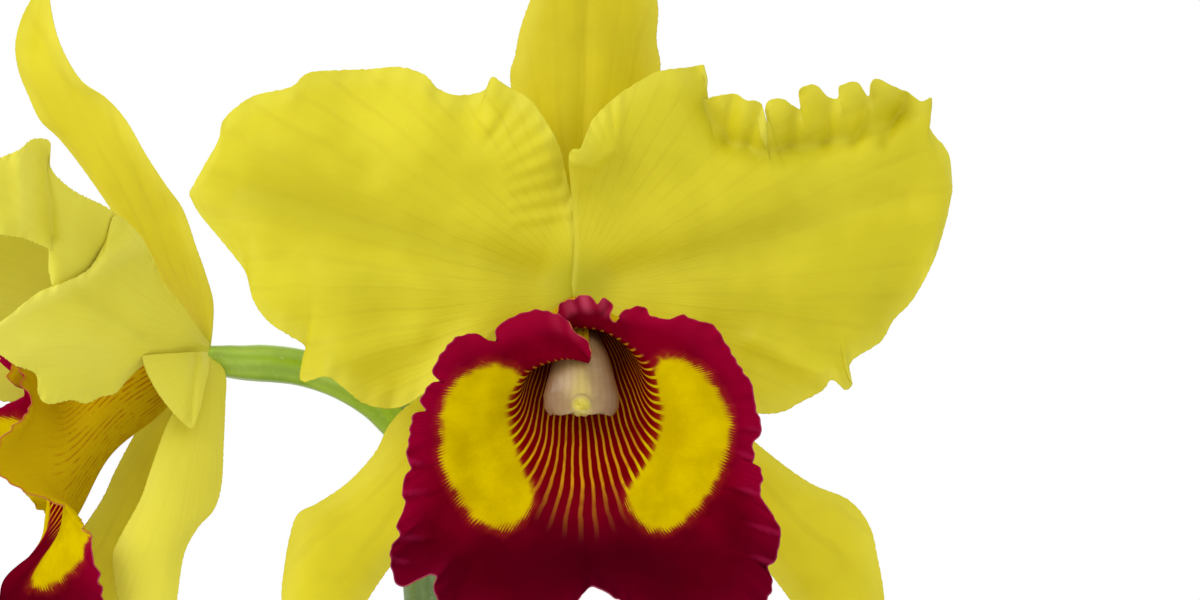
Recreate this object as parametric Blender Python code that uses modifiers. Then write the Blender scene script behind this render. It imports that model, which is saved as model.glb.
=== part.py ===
"""Potted Cattleya-type orchid: terracotta pot, bark, rhizome, five pseudobulbs
with one leaf each, and a flower stem that carries a front and a side flower.

Metres, +Z up. The origin is the centre of the pot's base and the front flower
faces -Y. Flower outlines are written in millimetres from the flower's centre.
"""
import math

import bmesh
import bpy
from mathutils import Matrix, Vector

# ---- driving dimensions -------------------------------------------------
MM = 0.001
GAP = 0.0003                        # air left between pieces that touch

POT_HEIGHT = 0.115
POT_TOP_RADIUS = 0.070
POT_BASE_RADIUS = 0.047
POT_WALL = 0.006
POT_RIM_HEIGHT = 0.022
POT_RIM_STEP = 0.004                # how far the rim band stands out
POT_FLOOR = 0.007
DRAIN_RADIUS = 0.005
DRAIN_CIRCLE = 0.026                # drain holes lie on this radius
DRAIN_COUNT = 4

BARK_TOP = 0.098                    # height of the bark at the pot's wall
BARK_CROWN = 0.003                  # how much higher the middle is
BARK_FLAT_RADIUS = 0.045            # the middle is level out to here

RHIZOME_RADIUS = 0.004
RHIZOME_Z = BARK_TOP + BARK_CROWN + GAP + RHIZOME_RADIUS
BULB_FOOT_Z = RHIZOME_Z + RHIZOME_RADIUS + GAP
ROOT_RADIUS = 0.0022
ROOT_Z = BARK_TOP + BARK_CROWN + GAP + ROOT_RADIUS

FRONT_CENTRE = Vector((0.032, -0.030, 0.450))
SIDE_CENTRE = FRONT_CENTRE + Vector((-0.0686, 0.020, -0.0107))
SIDE_YAW = math.radians(-78.0)      # turn of the side flower from facing -Y
SIDE_COLUMN_TILT = math.radians(-6.0)   # its column is held this much higher

ORGAN_THICKNESS = 0.0010            # petals, sepals and lips
LEAF_THICKNESS = 0.0022

# Name, x and y of the foot, height, greatest radius, lean of the top (x, y).
BULBS = (
    ("pseudobulb_1", 0.046, 0.014, 0.112, 0.0095, (0.022, 0.004)),
    ("pseudobulb_2", 0.027, 0.023, 0.124, 0.0105, (0.010, 0.014)),
    ("pseudobulb_3", 0.005, 0.024, 0.130, 0.0110, (0.000, 0.020)),
    ("pseudobulb_4", -0.017, 0.015, 0.126, 0.0110, (-0.022, 0.010)),
    ("pseudobulb_5", -0.030, -0.006, 0.118, 0.0110, (0.022, -0.002)),
)

# Name, bulb, length, width, heading in degrees from +X, rise at foot and tip.
LEAVES = (
    ("leaf_1", 0, 0.150, 0.044, 12.0, 66.0, 8.0),
    ("leaf_2", 1, 0.165, 0.050, 48.0, 72.0, 14.0),
    ("leaf_3", 2, 0.175, 0.052, 112.0, 70.0, 2.0),
    ("leaf_4", 3, 0.170, 0.054, 172.0, 60.0, 0.0),
    ("leaf_5", 4, 0.155, 0.050, 232.0, 62.0, 4.0),
)

# Bulb number from 0, share of its height that the sheath covers, open side.
SHEATHS = ((2, 0.42, 250.0), (3, 0.50, 300.0), (4, 0.60, 210.0))
SHEATH_THICKNESS = 0.0006
SPATHE_LENGTH = 0.075               # sheath round the foot of the flower stem
SPATHE_RADIUS = 0.0046
SPATHE_THICKNESS = 0.0007

# Petal and sepal outlines: two edges from base to tip, and the depth behind
# the flower's plane at the base, half way (pull) and tip, with the edges' cup.
FRONT_ORGANS = {
    "front_dorsal_sepal": (
        ((-3.0, 2.5), (-7.5, 16), (-12.2, 32), (-11.6, 44), (-8.8, 54), (-3.5, 66), (1.5, 73)),
        ((3.0, 2.5), (9.5, 16), (15.0, 34), (15.0, 46), (13.6, 56), (8.5, 66), (3.5, 73)),
        (2.6, 6.0, 2.0, 1.5)),
    "front_petal_left": (
        ((-3.0, 4.0), (-1.5, 14), (-5.0, 30), (-13, 38), (-26, 38), (-44, 41), (-58, 37),
         (-66, 30), (-70.6, 19.5)),
        ((-3.0, -2.5), (-14, -8.5), (-26, -16.5), (-36, -21), (-46, -16.5), (-52, -9),
         (-60, -1.5), (-65.5, 9), (-71, 16.5)),
        (-1.6, -9.0, 3.0, -3.0)),
    "front_petal_right": (
        ((3.0, 4.0), (1.0, 15), (2.0, 28), (12, 39), (24, 38), (38, 36), (51, 38),
         (63, 35), (68.0, 20.0)),
        ((3.0, -2.5), (14, -9), (26, -18), (38, -22), (48, -17), (54, -10),
         (62, -1), (66, 8), (68.6, 16.5)),
        (-1.6, -9.0, 3.0, -3.0)),
    "front_lateral_sepal_left": (
        ((-3.2, -2.6), (-18, -13.0), (-33, -23.0), (-42, -35), (-51, -41), (-54.5, -54), (-51.5, -73)),
        ((-0.8, -4.6), (-9, -20), (-20, -35), (-30, -44), (-36, -52), (-42, -61), (-49.5, -73.5)),
        (2.6, 9.0, 6.0, 1.5)),
    "front_lateral_sepal_right": (
        ((3.2, -2.6), (18, -14.0), (33, -27.5), (42, -35), (52, -41), (56.0, -54), (54.0, -73)),
        ((0.8, -4.6), (9, -20), (20, -35), (30, -44), (36, -52), (43, -61), (52.0, -73.5)),
        (2.6, 9.0, 6.0, 1.5)),
}

# The side flower's outlines are seen from the front; edges also have a depth.
SIDE_DORSAL = (
    ((-0.5, 5.0, 4.5), (-7.9, 9, 10), (-17.5, 8, 26), (-26, 5, 38), (-33.5, 0, 50), (-34.5, -5, 60),
     (-29.5, -6.5, 69)),
    ((1.5, -5.0, 3.5), (1.3, -9, 10), (-2.0, -12, 21), (-8.5, -14, 33), (-18, -13, 46), (-26, -11, 56),
     (-27.8, -7.5, 69)))
SIDE_NEAR_PETAL = (
    ((0.0, -5.4, 2.8), (-5.5, -11, 7.5), (-10.5, -16.5, 18), (-18, -24, 26), (-28, -34, 34),
     (-37.5, -41, 34), (-44, -45, 30), (-48.5, -47, 22)),
    ((0.0, -5.6, -2.4), (-7.5, -12, -3), (-15, -17.5, -7.0), (-22, -25, -9.5), (-30, -33, -7.5),
     (-36.5, -40, -1.5), (-43, -45, 6), (-47.5, -47, 18)))
SIDE_NEAR_LATERAL = (
    ((3.0, -2.0, -3.6), (4.0, -6, -9), (3.2, -11, -18), (1.5, -16, -29), (-3.5, -21, -38),
     (-6, -24, -50), (-8.0, -26, -62)),
    ((1.2, -4.0, -3.6), (-4.5, -11, -9), (-9.0, -17, -20), (-15, -22, -33), (-16.5, -25, -42),
     (-13, -27, -54), (-9.6, -27, -61.5)))

# Lips: the rings of the tube (centre x and z, half width and half height, depth
# at the top and the bottom), the depth of the frilled edge at its top, sides
# and bottom, and its outline from the top seam down the left and up the right.
FRONT_LIP_RINGS = (
    (0.0, -1.2, 5.0, 5.0, -3.4, -3.4),
    (0.3, -5.5, 8.5, 9.0, -9.0, -9.0),
    (0.6, -11.0, 10.5, 10.5, -14.5, -17.0),
    (1.1, -17.3, 13.5, 14.0, -20.0, -27.0))
FRONT_LIP_EDGE = (-26.0, -27.0, -38.0)
FRONT_LIP_OUTLINE = (
    (0.6, -5.6), (-8.0, -3.6), (-19.0, -8.0), (-27.0, -15.0), (-31.0, -27.0), (-33.0, -42.0),
    (-33.5, -52.0), (-24.0, -59.5), (-12.0, -63.0), (2.5, -56.0), (17.0, -62.5), (31.0, -60.0),
    (36.5, -48.0), (33.5, -34.0), (32.8, -20.0), (26.0, -8.0), (14.0, -4.2), (1.8, -5.6))
SIDE_LIP_RINGS = (
    (0.0, -1.2, 5.0, 5.0, -3.4, -3.4),
    (0.0, -4.5, 7.0, 8.0, -9.5, -9.5),
    (0.0, -9.5, 9.0, 9.5, -17.5, -18.5),
    (0.0, -15.5, 11.0, 13.0, -27.0, -26.0))
SIDE_LIP_EDGE = (-36.0, -24.0, -37.0)
SIDE_LIP_OUTLINE = (
    (-0.8, -5.0), (-8.0, -1.5), (-15.0, -5.0), (-18.0, -13.0), (-21.0, -24.0), (-26.0, -35.0),
    (-27.0, -45.0), (-20.0, -54.0), (-10.0, -58.0), (0.0, -53.0), (10.0, -58.0), (20.0, -54.0),
    (27.0, -45.0), (26.0, -35.0), (21.0, -24.0), (18.0, -13.0), (15.0, -5.0), (8.0, -1.5), (1.0, -5.0))

COLUMN_PATH = ((0.0, -3.0, -1.0, 2.8), (0.1, -8.0, -3.0, 3.4), (0.3, -15.0, -8.4, 5.0),
               (0.5, -21.0, -14.2, 6.2), (0.6, -23.2, -16.3, 6.3))   # x, y, z, radius
ANTHER_CENTRE = (0.9, -23.7, -20.6)
ANTHER_RADII = (2.6, 1.7, 2.4)

# Stems: x, y, z from the front flower's centre, and radius, all in mm.
FRONT_OVARY = ((-28.4, 26.0, -18.6, 2.9), (-22.0, 23.0, -11.5, 3.0), (-12.0, 16.0, -5.0, 3.1),
               (-4.0, 10.0, -1.8, 3.0), (0.0, 5.4, -0.6, 2.6))
SIDE_OVARY = ((-63.4, 20.4, -12.8, 2.8), (-56.6, 21.2, -13.1, 3.3), (-51.1, 22.2, -14.0, 3.4),
              (-44.5, 24.0, -16.4, 3.3), (-38.6, 26.0, -20.2, 3.0))
PEDUNCLE = ((-32.2, 27.5, -22.0, 3.0), (-32.2, 27.5, -28.0, 3.4), (-30.0, 26.5, -50.0, 3.3),
            (-28.0, 25.0, -90.0, 3.3), (-31.0, 24.5, -140.0, 3.3), (-36.0, 24.2, -185.0, 3.3),
            (-38.6, 24.0, -221.6, 3.2))


# ---- small tools --------------------------------------------------------
def material(name, colour, roughness):
    """One plain Principled material."""
    made = bpy.data.materials.new(name)
    made.use_nodes = True
    shader = made.node_tree.nodes["Principled BSDF"]
    shader.inputs["Base Color"].default_value = (*colour, 1.0)
    shader.inputs["Roughness"].default_value = roughness
    made.diffuse_color = (*colour, 1.0)
    return made


def add_object(name, data, mat, collection):
    """Link mesh or curve data as a named object with its own material."""
    data.materials.clear()
    data.materials.append(mat)
    made = bpy.data.objects.new(name, data)
    collection.objects.link(made)
    return made


def finish_mesh(bm, name):
    """Turn a bmesh into smooth-shaded mesh data with outward faces."""
    bmesh.ops.recalc_face_normals(bm, faces=bm.faces)
    data = bpy.data.meshes.new(name)
    bm.to_mesh(data)
    bm.free()
    data.shade_smooth()
    return data


def spline_point(points, t):
    """Point at t (0 to 1) on a Catmull-Rom curve through the points."""
    last = len(points) - 1
    place = min(max(t, 0.0), 1.0) * last
    i = min(int(place), last - 1)
    f = place - i
    p1, p2 = Vector(points[i]), Vector(points[i + 1])
    p0 = Vector(points[i - 1]) if i > 0 else p1 * 2 - p2
    p3 = Vector(points[i + 2]) if i + 2 <= last else p2 * 2 - p1
    return 0.5 * (2 * p1 + (p2 - p0) * f + (2 * p0 - 5 * p1 + 4 * p2 - p3) * f ** 2
                  + (3 * p1 - p0 - 3 * p2 + p3) * f ** 3)


def even_points(points, count, fine=400):
    """Points evenly spaced by length along the curve through the points."""
    dense = [spline_point(points, i / fine) for i in range(fine + 1)]
    run = [0.0]
    for a, b in zip(dense, dense[1:]):
        run.append(run[-1] + (b - a).length)
    result, j = [], 0
    for k in range(count):
        want = run[-1] * k / (count - 1)
        while j < fine - 1 and run[j + 1] < want:
            j += 1
        step = run[j + 1] - run[j]
        result.append(dense[j].lerp(dense[j + 1], (want - run[j]) / step if step else 0.0))
    return result


def sheet(name, place, rows, columns, thickness, mat, collection):
    """A grid whose vertices are moved to place(u, v), made solid."""
    bm = bmesh.new()
    bmesh.ops.create_grid(bm, x_segments=rows, y_segments=columns, size=0.5)
    for vert in bm.verts:
        vert.co = place(min(max(vert.co.x + 0.5, 0.0), 1.0), min(max(vert.co.y + 0.5, 0.0), 1.0))
    made = add_object(name, finish_mesh(bm, name), mat, collection)
    solid = made.modifiers.new("thickness", "SOLIDIFY")
    solid.thickness = thickness
    solid.offset = 0.0
    return made


def tube(name, points, mat, collection, sides=3):
    """A closed, tapered tube through (x, y, z, radius) points in metres."""
    curve = bpy.data.curves.new(name, "CURVE")
    curve.dimensions = "3D"
    curve.bevel_depth = 1.0
    curve.bevel_resolution = sides
    curve.use_fill_caps = True
    spline = curve.splines.new("POLY")
    spline.points.add(len(points) - 1)
    for point, (x, y, z, radius) in zip(spline.points, points):
        point.co = (x, y, z, 1.0)
        point.radius = radius
    return add_object(name, curve, mat, collection)


def turned(name, profile, steps, mat, collection):
    """A profile of (radius, z) points turned about Z with a Screw modifier."""
    bm = bmesh.new()
    verts = [bm.verts.new((radius, 0.0, z)) for radius, z in profile]
    for a, b in zip(verts, verts[1:]):
        bm.edges.new((a, b))
    data = bpy.data.meshes.new(name)
    bm.to_mesh(data)
    bm.free()
    made = add_object(name, data, mat, collection)
    screw = made.modifiers.new("turn", "SCREW")
    screw.steps = screw.render_steps = steps
    screw.use_merge_vertices = True
    screw.merge_threshold = 0.00005
    screw.use_smooth_shade = True
    return made


# ---- pot and bark -------------------------------------------------------
def pot_outer_radius(z):
    """Radius of the pot's outside below the rim band."""
    return POT_BASE_RADIUS + (POT_TOP_RADIUS - POT_RIM_STEP - POT_BASE_RADIUS) * z / POT_HEIGHT


def pot_inner_radius(z):
    return pot_outer_radius(z) - POT_WALL


def make_pot(mat, parts, cutters):
    rim_z = POT_HEIGHT - POT_RIM_HEIGHT
    edge = 0.0015
    profile = (
        (pot_inner_radius(POT_HEIGHT) + edge, POT_HEIGHT),
        (POT_TOP_RADIUS - edge, POT_HEIGHT),
        (POT_TOP_RADIUS, POT_HEIGHT - edge),
        (POT_TOP_RADIUS - 0.0012, rim_z + edge),
        (POT_TOP_RADIUS - 0.0025, rim_z),
        (pot_outer_radius(rim_z), rim_z - edge),
        (pot_outer_radius(0.05), 0.05),
        (POT_BASE_RADIUS, edge),
        (POT_BASE_RADIUS - edge, 0.0),
        (0.0, 0.0),
    )
    inside = (
        (0.0, POT_FLOOR),
        (pot_inner_radius(POT_FLOOR) - edge, POT_FLOOR),
        (pot_inner_radius(POT_FLOOR + edge), POT_FLOOR + edge),
        (pot_inner_radius(POT_HEIGHT - edge), POT_HEIGHT - edge),
        (pot_inner_radius(POT_HEIGHT) + edge, POT_HEIGHT),
    )
    pot = turned("pot", profile + inside, 48, mat, parts)
    pot.data.shade_flat()
    for i in range(DRAIN_COUNT):
        angle = math.tau * (i + 0.5) / DRAIN_COUNT
        bm = bmesh.new()
        bmesh.ops.create_cone(bm, cap_ends=True, segments=16, radius1=DRAIN_RADIUS,
                              radius2=DRAIN_RADIUS, depth=0.04)
        cutter = add_object(f"drain_cutter_{i + 1}", finish_mesh(bm, "drain"), mat, cutters)
        cutter.location = (DRAIN_CIRCLE * math.cos(angle), DRAIN_CIRCLE * math.sin(angle), 0.0)
        cutter.hide_render = True
        cutter.display_type = "WIRE"
        cut = pot.modifiers.new(f"drain_{i + 1}", "BOOLEAN")
        cut.operation = "DIFFERENCE"
        cut.object = cutter
    return pot


def make_bark(mat, parts):
    foot = POT_FLOOR + GAP
    profile = (
        (0.0, BARK_TOP + BARK_CROWN),
        (BARK_FLAT_RADIUS, BARK_TOP + BARK_CROWN),
        (pot_inner_radius(BARK_TOP) - 3 * GAP, BARK_TOP),
        (pot_inner_radius(POT_FLOOR + 0.002) - 3 * GAP, foot + 0.002),
        (pot_inner_radius(POT_FLOOR) - 0.003, foot),
        (0.0, foot),
    )
    return turned("bark_bed", profile, 32, mat, parts)


# ---- plant body ---------------------------------------------------------
def bulb_axis(bulb, t):
    """Point on a pseudobulb's centre line, t from foot (0) to top (1)."""
    _, x, y, height, _, (lean_x, lean_y) = bulb
    return Vector((x + lean_x * t ** 1.6, y + lean_y * t ** 1.6, BULB_FOOT_Z + height * t))


def bulb_radius(bulb, t):
    """Club shape: thin foot, widest two thirds up, rounded shoulder."""
    swell = math.sin(math.pi * min(t, 1.0) ** 1.25) ** 0.8
    ends = 0.0036 + 0.0014 * t
    return ends + (bulb[4] - ends) * swell


def make_bulb(bulb, mat, parts):
    count = 11
    points = [(*bulb_axis(bulb, i / (count - 1)), bulb_radius(bulb, i / (count - 1)))
              for i in range(count)]
    return tube(bulb[0], points, mat, parts)


def leaf_place(leaf):
    """Surface function of a leaf that rises from its bulb's top and arches."""
    _, number, length, width, heading, rise_foot, rise_tip = leaf
    out = Vector((math.cos(math.radians(heading)), math.sin(math.radians(heading)), 0.0))
    across = Vector((-out.y, out.x, 0.0))
    start = bulb_axis(BULBS[number], 1.0) + Vector((0.0, 0.0, 0.0032)) + out * 0.0044
    steps = 40
    line, normals = [start], []
    for i in range(steps):
        rise = math.radians(rise_foot + (rise_tip - rise_foot) * (i + 0.5) / steps)
        line.append(line[-1] + (out * math.cos(rise) + Vector((0, 0, math.sin(rise)))) * length / steps)
        normals.append(Vector((0, 0, math.cos(rise))) - out * math.sin(rise))
    normals.append(normals[-1])

    def place(u, v):
        at = u * steps
        i = min(int(at), steps - 1)
        centre = line[i].lerp(line[i + 1], at - i)
        half = 0.5 * width * (0.15 + 0.85 * math.sin(math.pi * (0.985 * u) ** 0.85) ** 0.65)
        side = 2 * v - 1
        keel = 0.22 * half * abs(side) ** 1.5
        return centre + across * half * side + normals[i] * keel
    return place


def sheath_place(bulb, share, facing):
    """Papery sheath that wraps most of a bulb's lower part; facing is the
    side, in degrees from +X, on which it stands open."""
    def place(u, v):
        t = 0.03 + (share - 0.03) * u
        half = math.radians(158 - 48 * u ** 3)
        angle = math.radians(facing + 180) + (2 * v - 1) * half
        radius = bulb_radius(bulb, t) + 0.0011 + 0.0010 * u ** 2
        return bulb_axis(bulb, t) + Vector((math.cos(angle), math.sin(angle), 0.0)) * radius
    return place


def make_rhizome(mat, parts):
    feet = [(b[1], b[2]) for b in BULBS]
    route = [(0.051, 0.002, 0.0)] + [(x, y, 0.0) for x, y in feet] + [(-0.034, -0.022, 0.0)]
    points = even_points(route, 18)
    return tube("rhizome", [(p.x, p.y, RHIZOME_Z, RHIZOME_RADIUS) for p in points], mat, parts)


def make_spathe(mat, parts):
    """The open sheath around the foot of the flower stem."""
    centre = [Vector(p[:3]) * MM + FRONT_CENTRE for p in PEDUNCLE]
    low, high = centre[-1], centre[-2]

    def place(u, v):
        at = low.lerp(high, 0.09 + u * SPATHE_LENGTH / (high - low).length)
        flat = SPATHE_RADIUS * (1.0 + 0.25 * math.sin(math.pi * u))
        angle = math.radians(90 + (2 * v - 1) * (135 - 105 * u ** 2))
        return at + Vector((math.cos(angle) * flat, math.sin(angle) * flat, 0.0))
    return sheet("spathe", place, 10, 9, SPATHE_THICKNESS, mat, parts)


# ---- flowers ------------------------------------------------------------
def organ_place(edge_a, edge_b, depth, centre):
    """Surface between two edges, with depth along the organ and a cup across."""
    side_a, side_b = even_points([(x, 0.0, z) for x, z in edge_a], 60), \
        even_points([(x, 0.0, z) for x, z in edge_b], 60)
    base, middle, tip, cup = depth

    def place(u, v):
        i = u * 59
        j = min(int(i), 58)
        a = side_a[j].lerp(side_a[j + 1], i - j)
        b = side_b[j].lerp(side_b[j + 1], i - j)
        point = a.lerp(b, v)
        point.y = base * (1 - u) ** 2 + 2 * middle * u * (1 - u) + tip * u ** 2
        point.y += cup * (2 * v - 1) ** 2 * 4 * u * (1 - u)
        return centre + point * MM
    return place


def side_place(edge_a, edge_b, centre, bulge=0.0, mirrored=False):
    """Surface between two edges that have their own depth; mirrored for the
    organ on the flower's far side."""
    side_a, side_b = even_points(edge_a, 60), even_points(edge_b, 60)
    across = Vector((math.cos(SIDE_YAW), math.sin(SIDE_YAW), 0.0))

    def place(u, v):
        i = u * 59
        j = min(int(i), 58)
        a = side_a[j].lerp(side_a[j + 1], i - j)
        b = side_b[j].lerp(side_b[j + 1], i - j)
        point = a.lerp(b, v)
        point += across * bulge * 4 * v * (1 - v) * 4 * u * (1 - u)
        if mirrored:
            point -= across * 2 * point.dot(across)
        return centre + point * MM
    return place


def lip_place(rings, edge_depth, outline, turn, centre):
    """Trumpet from the ring at the column's foot to the frilled edge."""
    edge = even_points([(x, 0.0, z) for x, z in outline], 73)
    top_depth, side_depth, bottom_depth = edge_depth
    slit = 0.012                    # share of the round left open at the top

    def ring(k, v):
        angle = math.tau * (slit + (1 - 2 * slit) * v)
        lower = 0.5 - 0.5 * math.cos(angle)
        if k == len(rings):
            i = v * 72
            j = min(int(i), 71)
            point = edge[j].lerp(edge[j + 1], i - j)
            sideways = math.sin(angle) ** 2
            point.y = top_depth + (bottom_depth - top_depth) * lower
            point.y += (side_depth - 0.5 * (top_depth + bottom_depth)) * sideways
            return point
        x, z, wide, high, top, bottom = rings[k]
        return Vector((x - wide * math.sin(angle), top + (bottom - top) * lower,
                       z + high * math.cos(angle)))

    def place(u, v):
        stations = [ring(k, v) for k in range(len(rings) + 1)]
        point = spline_point(stations, u)
        return centre + turn @ (point * MM)
    return place


def make_column(prefix, turn, centre, mats, parts):
    points = []
    for x, y, z, radius in COLUMN_PATH:
        place = centre + turn @ (Vector((x, y, z)) * MM)
        points.append((*place, radius * MM))
    tube(f"{prefix}_column", points, mats["column"], parts, sides=4)
    bm = bmesh.new()
    bmesh.ops.create_uvsphere(bm, u_segments=14, v_segments=8, radius=1.0)
    tilt = Matrix.Rotation(math.radians(42), 4, "X")
    size = Matrix.Diagonal((*(r * MM for r in ANTHER_RADII), 1.0))
    where = Matrix.Translation(centre + turn @ (Vector(ANTHER_CENTRE) * MM))
    bmesh.ops.transform(bm, matrix=where @ turn.to_4x4() @ tilt @ size, verts=bm.verts)
    add_object(f"{prefix}_anther_cap", finish_mesh(bm, "anther"), mats["anther"], parts)


def stem_points(path, count):
    """Even points along a stem, from its (x, y, z, radius) mm points."""
    centre = even_points([p[:3] for p in path], count)
    radii = even_points([(i, p[3], 0.0) for i, p in enumerate(path)], count)
    return [(*(FRONT_CENTRE + p * MM), r.y * MM) for p, r in zip(centre, radii)]


def make_flowers(mats, parts):
    upright = Matrix.Identity(3)
    for name, (edge_a, edge_b, depth) in FRONT_ORGANS.items():
        mat = mats["petal"] if "petal" in name else mats["sepal"]
        sheet(name, organ_place(edge_a, edge_b, depth, FRONT_CENTRE), 12, 8, ORGAN_THICKNESS, mat, parts)
    front_lip = lip_place(FRONT_LIP_RINGS, FRONT_LIP_EDGE, FRONT_LIP_OUTLINE, upright, FRONT_CENTRE)
    sheet("front_lip", front_lip, 9, 31, ORGAN_THICKNESS, mats["lip"], parts)
    make_column("front", upright, FRONT_CENTRE, mats, parts)

    turn = Matrix.Rotation(SIDE_YAW, 3, "Z")
    side_sheets = (
        ("side_dorsal_sepal", SIDE_DORSAL, 0.0, False, "sepal"),
        ("side_petal_near", SIDE_NEAR_PETAL, 4.0, False, "petal"),
        ("side_petal_far", SIDE_NEAR_PETAL, 4.0, True, "petal"),
        ("side_lateral_sepal_near", SIDE_NEAR_LATERAL, 1.0, False, "sepal"),
        ("side_lateral_sepal_far", SIDE_NEAR_LATERAL, 1.0, True, "sepal"),
    )
    for name, (edge_a, edge_b), bulge, mirrored, mat in side_sheets:
        sheet(name, side_place(edge_a, edge_b, SIDE_CENTRE, bulge, mirrored), 12, 7,
              ORGAN_THICKNESS, mats[mat], parts)
    side_lip = lip_place(SIDE_LIP_RINGS, SIDE_LIP_EDGE, SIDE_LIP_OUTLINE, turn, SIDE_CENTRE)
    sheet("side_lip", side_lip, 9, 31, ORGAN_THICKNESS, mats["lip"], parts)
    raised = turn @ Matrix.Rotation(SIDE_COLUMN_TILT, 3, "X")
    make_column("side", raised, SIDE_CENTRE, mats, parts)

    tube("front_ovary", stem_points(FRONT_OVARY, 10), mats["ovary"], parts)
    tube("side_ovary", stem_points(SIDE_OVARY, 10), mats["ovary"], parts)
    tube("peduncle", stem_points(PEDUNCLE, 16), mats["stem"], parts)


def make_roots(mat, parts):
    """Thick roots that lie on the bark and turn along the pot's wall."""
    routes = (
        ((0.043, -0.003), (0.049, -0.011), (0.046, -0.026), (0.030, -0.041), (0.012, -0.047)),
        ((0.016, 0.016), (0.012, 0.002), (0.016, -0.014), (0.006, -0.028), (-0.010, -0.040)),
        ((-0.010, 0.030), (-0.018, 0.040), (-0.030, 0.044), (-0.042, 0.036)),
        ((0.036, 0.030), (0.030, 0.042), (0.016, 0.050), (0.000, 0.052)),
        ((-0.042, -0.004), (-0.050, -0.006), (-0.052, 0.006), (-0.050, 0.018)),
    )
    for number, route in enumerate(routes, 1):
        points = even_points([(x, y, 0.0) for x, y in route], 9)
        last = len(points) - 1
        radii = [ROOT_RADIUS * (0.75 if i == last else 1.0) for i in range(last + 1)]
        tube(f"root_{number}", [(p.x, p.y, ROOT_Z, r) for p, r in zip(points, radii)], mat, parts, 2)


def main():
    for item in list(bpy.data.objects):
        bpy.data.objects.remove(item, do_unlink=True)
    parts = bpy.data.collections.new("potted_orchid")
    cutters = bpy.data.collections.new("cutters")
    bpy.context.scene.collection.children.link(parts)
    bpy.context.scene.collection.children.link(cutters)

    mats = {
        "pot": material("terracotta", (0.52, 0.22, 0.11), 0.85),
        "bark": material("fir_bark", (0.16, 0.075, 0.035), 0.90),
        "rhizome": material("rhizome_skin", (0.25, 0.22, 0.08), 0.70),
        "root": material("root_velamen", (0.55, 0.56, 0.45), 0.80),
        "bulb": material("bulb_skin", (0.24, 0.33, 0.07), 0.50),
        "sheath": material("dry_sheath", (0.50, 0.42, 0.24), 0.75),
        "leaf": material("leaf_skin", (0.07, 0.19, 0.03), 0.38),
        "stem": material("stem_skin", (0.25, 0.38, 0.12), 0.45),
        "ovary": material("ovary_skin", (0.28, 0.48, 0.07), 0.40),
        "spathe": material("spathe_skin", (0.38, 0.42, 0.14), 0.65),
        "petal": material("petal_skin", (0.80, 0.68, 0.03), 0.55),
        "sepal": material("sepal_skin", (0.72, 0.60, 0.03), 0.52),
        "lip": material("lip_skin", (0.27, 0.004, 0.022), 0.50),
        "column": material("column_skin", (0.72, 0.60, 0.42), 0.45),
        "anther": material("anther_skin", (0.68, 0.60, 0.16), 0.50),
    }
    make_pot(mats["pot"], parts, cutters)
    make_bark(mats["bark"], parts)
    make_rhizome(mats["rhizome"], parts)
    make_roots(mats["root"], parts)
    for bulb in BULBS:
        make_bulb(bulb, mats["bulb"], parts)
    for leaf in LEAVES:
        sheet(leaf[0], leaf_place(leaf), 11, 6, LEAF_THICKNESS, mats["leaf"], parts)
    for number, share, facing in SHEATHS:
        place = sheath_place(BULBS[number], share, facing)
        sheet(f"bulb_sheath_{number + 1}", place, 8, 15, SHEATH_THICKNESS, mats["sheath"], parts)
    make_spathe(mats["spathe"], parts)
    make_flowers(mats, parts)


main()
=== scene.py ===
import math

import bpy
import numpy as np
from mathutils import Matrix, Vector


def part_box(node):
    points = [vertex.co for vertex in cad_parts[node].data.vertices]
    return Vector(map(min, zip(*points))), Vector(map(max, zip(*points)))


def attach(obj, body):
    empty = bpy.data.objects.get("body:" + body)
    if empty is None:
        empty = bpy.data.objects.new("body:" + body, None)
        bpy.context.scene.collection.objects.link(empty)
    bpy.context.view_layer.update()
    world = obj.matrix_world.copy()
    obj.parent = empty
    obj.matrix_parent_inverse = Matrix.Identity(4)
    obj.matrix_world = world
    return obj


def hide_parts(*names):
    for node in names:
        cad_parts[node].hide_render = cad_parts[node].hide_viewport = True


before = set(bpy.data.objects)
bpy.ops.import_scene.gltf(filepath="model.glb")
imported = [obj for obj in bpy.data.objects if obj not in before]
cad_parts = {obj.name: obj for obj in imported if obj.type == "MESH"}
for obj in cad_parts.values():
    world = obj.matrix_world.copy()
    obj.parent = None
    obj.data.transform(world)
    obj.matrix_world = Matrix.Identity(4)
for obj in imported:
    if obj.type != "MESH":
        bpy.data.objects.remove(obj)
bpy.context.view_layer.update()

# Flower outlines below are millimetres from a flower's centre, as someone
# sees them who stands VIEW_DISTANCE in front of the front flower's plane.
MM = 0.001
VIEW_DISTANCE = 1000.0
VIEW_AXIS = (4.0, -1.5)             # where the line of sight meets that plane
SIDE_OFFSET = (-68.6, 20.0, -10.7)  # side flower's centre: right, behind, up
SIDE_YAW = math.radians(-78.0)
FLOOR_SIZE = 11.0
FLOOR_GAP = 0.0005
LENS = 163.0

# The front flower's centre is just behind the CAD column and just below its top.
COLUMN_LOW, COLUMN_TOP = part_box("front_column")
COLUMN_GAP = 0.0022
COLUMN_SHIFT = 0.0005
FRONT = Vector((0.5 * (COLUMN_LOW.x + COLUMN_TOP.x) - COLUMN_SHIFT, COLUMN_TOP.y + COLUMN_GAP,
                COLUMN_TOP.z - COLUMN_GAP))
POT_LOW, POT_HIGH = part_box("pot")


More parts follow.
